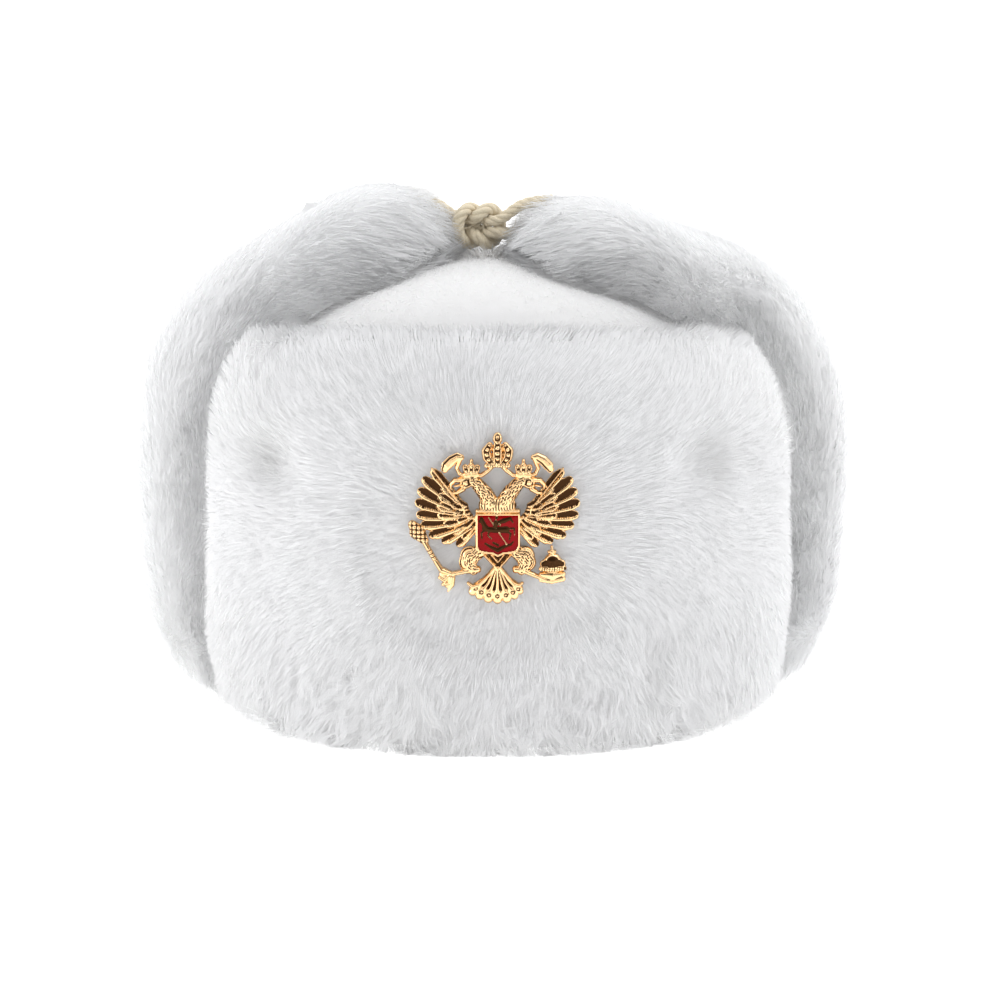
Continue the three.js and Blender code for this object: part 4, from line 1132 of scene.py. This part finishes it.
class Relief:
    """A relief on an even grid: how far inside its outline each point is, how high, and its painted shade and
    dark reflection.
    """

    def __init__(self, low, high, spacing):
        self.spacing = spacing
        rows, columns = (np.arange(a, b, spacing) for a, b in zip(low, high))
        self.x, self.y = np.meshgrid(rows, columns, indexing="ij")
        self.inside = np.full(self.x.shape, -9.0)
        self.height = np.zeros(self.x.shape)
        self.painted_shade = np.zeros(self.x.shape)

    def window(self, rows):
        """The part of the grid that the rows of a strip can reach."""
        rows = np.asarray(rows, float)
        margin = rows[:, 2].max() + 2
        low = (rows[:, :2].min(0) - margin) * GRID
        high = (rows[:, :2].max(0) + margin) * GRID
        i = np.searchsorted(self.x[:, 0], [low[0], high[0]])
        j = np.searchsorted(self.y[0], [low[1], high[1]])
        return slice(*i), slice(*j)

    def lay(self, part, inside, height, painted_shade):
        """Adds a shape where it stands higher than what is there."""
        self.inside[part] = np.maximum(self.inside[part], inside)
        over = (inside > -self.spacing) & (height > self.height[part])
        self.height[part] = np.where(over, height, self.height[part])
        self.painted_shade[part] = np.where(over, painted_shade, self.painted_shade[part])

    def strip(self, square, kind, rows):
        """A strip with a rounded section and its cuts."""
        part = self.window(rows)
        x, y = self.x[part], self.y[part]
        inside, along, across, high, half = strip_places(x, y, rows)
        depth, painted_shade = cut(kind, along, across, half, x, y)
        fade = smoothstep(inside, 0.0, 0.35)
        self.lay(part, inside, mix(CAST["edge"], high, rounded(across, square)) - depth * fade, painted_shade * fade)

    def feather(self, row, side, lift):
        """A feather from root to tip: a hollow painted in shade along its upper side, a barbed roll along its
        lower.
        """
        root_x, root_y, tip_x, tip_y, half, hollow = row
        rows = [
            (side * mix(root_x, tip_x, share), mix(root_y, tip_y, share), width, height + lift)
            for share, width, height in (
                (0, 2.0, 1.7), (0.5, half * 0.85, 2.0), (0.82, half, 1.9), (0.93, half * 0.74, 1.6))
        ]
        part = self.window(rows)
        x, y = self.x[part], self.y[part]
        inside, along, across, high, _ = strip_places(x, y, rows)
        across = across * side
        upper = 1 - 2 * hollow
        roll = np.maximum(1 - ((across + 1 - (1 + upper) / 2) / ((1 + upper) / 2)) ** 2, 0) ** 0.6
        in_hollow = smoothstep(across, upper - 0.08, upper + 0.12) * smoothstep(inside, 0.1, 0.36)
        line = smoothstep(inside, 0.4, 0.15) * 0.6
        barb = wave(along / 0.62 - 0.55 * across)
        height = 1.0 + lift + (high - 1.0 - lift) * np.maximum(roll, line) - 0.13 * (1 - barb) * roll
        # painted shade in the hollow and between the barbs
        between_barbs = smoothstep(barb, 0.5, 0.2) * smoothstep(across, upper - 0.5, upper - 0.1)
        painted_shade = np.maximum(in_hollow, 0.95 * between_barbs)
        near = smoothstep(inside, 0.02, 0.22)
        self.lay(part, inside, mix(CAST["edge"] + lift * 0.6, height, near), painted_shade * near)

    def solid(self, place, flat_back=0.0):
        """The relief as a closed body: the cells inside its outline, their edge points drawn onto it.

        An edge point moves along the slope of inside, by inside / slope, which is where the outline lies.
        The back is level, and walls join front and back along the edges that only one cell has. Level faces
            are toned darker than slopes, a painted reflection of the dim sky round the camera.
        """
        first, second = slice(0, -1), slice(1, None)
        corners = ((first, first), (second, first), (second, second), (first, second))
        keep = self.inside > -0.4 * self.spacing
        cell = np.all([keep[corner] for corner in corners], 0)
        cells_round = np.zeros(self.x.shape, int)
        for corner in corners:
            cells_round[corner] += cell
        used = cells_round > 0
        border = used & (cells_round < 4)
        slope = np.stack(np.gradient(self.inside, self.spacing), -1)
        steep = np.maximum((slope**2).sum(-1), 0.25)
        shift = -slope * (np.clip(self.inside, -0.5, 0.5) / steep)[..., None]
        limit = 0.6 * self.spacing
        shift = np.clip(shift, -limit, limit) * border[..., None]
        number = np.full(self.x.shape, -1)
        number[used] = np.arange(used.sum())
        x, y = (self.x + shift[..., 0])[used], (self.y + shift[..., 1])[used]
        front = place(x, y, self.height[used])
        back = place(x, y, np.full(x.shape, flat_back))
        quads = np.stack([number[corner] for corner in corners], -1)[cell]
        top = np.concatenate([quads[:, [0, 1, 2]], quads[:, [0, 2, 3]]])
        edges = np.concatenate([quads[:, [k, (k + 1) % 4]] for k in range(4)])
        reverse = set(map(tuple, edges[:, ::-1].tolist()))
        rim = np.array([e for e in map(tuple, edges.tolist()) if e not in reverse])
        level = 1 - smoothstep(np.hypot(*np.gradient(self.height, self.spacing)), 0.1, 0.7)
        # painted reflection on level faces, and the relief's painted shade
        tone = np.maximum(self.painted_shade, 0.43 * level)
        n = len(front)
        walls = np.concatenate([np.stack([rim[:, 0], rim[:, 1] + n, rim[:, 1]], -1),
                                np.stack([rim[:, 0], rim[:, 0] + n, rim[:, 1] + n], -1)])
        points = np.concatenate([front, back])
        faces = np.concatenate([top, top[:, ::-1] + n, walls])
        return points, outward(points, faces), np.concatenate([tone[used], np.full(n, 0.3)])


def on_visor(x, y, height):
    """Stands the relief up against the visor, bowed to its curve."""
    return np.stack([BADGE["x"] + x, BADGE_Y + bowed_back(x) - height, BADGE["z"] + y], -1)


def shield_inside(x, y):
    """How far points lie inside the shield's outline: the distance to its nearest side, minus outside."""
    corners = np.array(SHIELD_OUTLINE) * GRID
    start, run = corners, np.roll(corners, -1, 0) - corners
    px, py = x[None] - start[:, 0, None, None], y[None] - start[:, 1, None, None]
    run_x, run_y = run[:, 0, None, None], run[:, 1, None, None]
    share = np.clip((px * run_x + py * run_y) / (run_x**2 + run_y**2), 0, 1)
    away = np.hypot(px - share * run_x, py - share * run_y).min(0)
    above = (start[:, 1, None, None] > y) != (np.roll(corners, -1, 0)[:, 1, None, None] > y)
    crossing = px < run_x * py / np.where(np.abs(run_y) < 1e-9, 1e-9, run_y)
    odd = (above & crossing).sum(0) % 2 == 1
    return np.where(odd, away, -away)


def eagle_relief():
    """The whole eagle: wings and what is built on both sides, tail, middle, then the shield and its rider."""
    relief = Relief((-33, -31), (31, 32), CAST["spacing"])
    for side in (-1, 1):
        for row in FLIGHT_FEATHERS:
            relief.feather(row, side, 0.0)
        for row in COVERTS:
            relief.feather(row, side, 0.45)
        for row in SCAPULARS:
            relief.feather(row, side, 0.85)
        for square, kind, rows in PAIRED:
            relief.strip(square, kind, [(side * x, y, half, high) for x, y, half, high in rows])
    for tip_x, tip_y, half in TAIL_FEATHERS:
        rows = [(tip_x * 0.08, -38, 1.0, 2.4), (tip_x * 0.5, mix(-38, tip_y, 0.55), half * 0.66, 2.5),
                (tip_x * 0.93, mix(-38, tip_y, 0.9), half, 2.6), (tip_x, tip_y, half * 0.8, 2.3)]
        relief.strip(1.7, "tail", rows)
    for square, kind, rows in SINGLE:
        relief.strip(square, kind, rows)
    # the plate between the chevrons in painted shade, then the shield's frame with its sunk field
    part = (slice(None), slice(None))
    x, y = relief.x, relief.y
    wedge = np.minimum(-28 * GRID - y, (y + 41 * GRID) * 0.66 - np.abs(x - 0.13))
    relief.lay(part, wedge, np.where(wedge > 0, 1.5, 0.0), np.full(x.shape, 0.9))
    inside = shield_inside(x, y)
    frame_top = mix(CAST["edge"], CAST["frame"], smoothstep(inside, -0.05, 0.28))
    relief.lay(part, inside, np.where(inside > -0.1, frame_top, 0), np.zeros(x.shape))
    sunk = inside > CAST["rim"]
    relief.height[sunk] = CAST["field"]
    relief.painted_shade[sunk] = 0.5
    for square, rows in RIDER:
        part = relief.window(rows)
        rows = [(x, y, 1.3 * half, high) for x, y, half, high in rows]
        within, _, across, high, _ = strip_places(relief.x[part], relief.y[part], rows)
        top = mix(CAST["field"], high, rounded(across, square))
        over = (within > 0) & (top > relief.height[part])
        relief.height[part] = np.where(over, top, relief.height[part])
        # painted shade over the rider, fading to bright gilt at its edges
        relief.painted_shade[part] = np.where(over, mix(0.05, 0.72, smoothstep(within, 0.1, 0.24)), relief.painted_shade[part])
    return relief


def enamel_fill():
    """The enamel in the shield's sunk field, hollowed a little towards its rim."""
    enamel = Relief((-9, -14.5), (9, 3), 0.3)
    enamel.inside = shield_inside(enamel.x, enamel.y) - CAST["rim"] + 0.06
    enamel.height = CAST["enamel"] - 0.25 * np.exp(-np.maximum(enamel.inside, 0) / 0.35)
    return enamel


def gilt_metal():
    """Polished gilt, brown and dull where the relief's tone paints shade in its hollows and dark reflection
    on its level faces.
    """
    shader = Shader("gilt")
    painted_shade = shader.attribute("tone")
    worn = shader.noise(2200, 2)
    # painted shade and reflection, its edge broken up by noise
    hollow = shader.smoothstep(painted_shade + 0.2 * (worn - 0.5), 0.28, 0.68)
    colour = shader.blend(hollow, (0.88, 0.58, 0.30, 1), (0.05, 0.022, 0.009, 1))
    return shader.finish(Base_Color=colour, Metallic=1.0, Roughness=0.13 + 0.25 * hollow,
                         Normal=shader.bump(worn, 0.12, 0.0003))


def red_enamel():
    shader = Shader("red_enamel")
    cloud = shader.noise(500, 2)
    colour = shader.blend(cloud, (0.30, 0.001, 0.003, 1), (0.20, 0.001, 0.002, 1))
    return shader.finish(Base_Color=colour, Roughness=0.2, Specular_IOR_Level=0.08, Coat_Weight=0.05,
                         Coat_Roughness=0.06)


points, faces, painted_shade = eagle_relief().solid(on_visor)
dress("eagle_badge_relief", "eagle_badge", "badge", gilt_metal(), points, faces, tone=painted_shade)
points, faces, painted_shade = enamel_fill().solid(on_visor, CAST["field"] + 0.02)
dress("red_shield_enamel", "badge_shield", "enamel", red_enamel(), points, faces, tone=painted_shade)


# Stage: name, place and size in metres, and power in watts
LAMPS = [("key", (-1.8, -0.3, 0.35), 0.8, 8), ("top", (0.9, 0.0, 1.6), 1.2, 10)]
LAMPS_AIM = (0, 0, 0.09)


def make_floor():
    """A pale floor that glows a little, as the white ground of the photograph does."""
    shader = Shader("pale_floor")
    bpy.ops.mesh.primitive_plane_add(size=80)
    floor = bpy.context.object
    floor.name = "floor"
    floor.data.materials.append(shader.finish(Base_Color=grey(0.9), Roughness=0.9, Specular_IOR_Level=0.1,
                                              Emission_Color=grey(1.0), Emission_Strength=0.65))


def make_sky():
    """Soft light from all round, by the direction x, y, z it comes from.

    Its strength is 1.37 - 0.02x + 0.36x2 + 0.5z2, and fades where y is near -1, at the camera, and behind the
    hat, where y is above 0.
    """
    sky = Shader("studio", bpy.data.worlds)
    towards = sky.node("ShaderNodeTexCoord", output="Generated")
    x, y, z = (sky.node("ShaderNodeSeparateXYZ", None, {0: towards}, axis) for axis in "XYZ")
    before = sky.smoothstep(y * -1, 0.5, 0.93)
    behind = sky.smoothstep(y, 0.0, 0.9)
    strength = (1.37 - 0.02 * x + 0.36 * x * x + 0.5 * z * z) * (1 - 0.92 * before) * (1 - 0.35 * behind)
    light = sky.node("ShaderNodeBackground", None, {"Color": (0.795, 0.80, 0.815, 1), "Strength": strength})
    sky.join(light, sky.tree.nodes.new("ShaderNodeOutputWorld").inputs["Surface"])
    bpy.context.scene.world = sky.material


def make_lamps():
    for name, place, size, power in LAMPS:
        light = bpy.data.lights.new(name, "AREA")
        light.size, light.energy = size, power
        lamp = bpy.data.objects.new(name, light)
        bpy.context.collection.objects.link(lamp)
        lamp.location = place
        lamp.rotation_euler = (Vector(LAMPS_AIM) - Vector(place)).to_track_quat("-Z", "Y").to_euler()


make_floor()
make_sky()
make_lamps()
bpy.context.scene.view_settings.view_transform = "Standard"
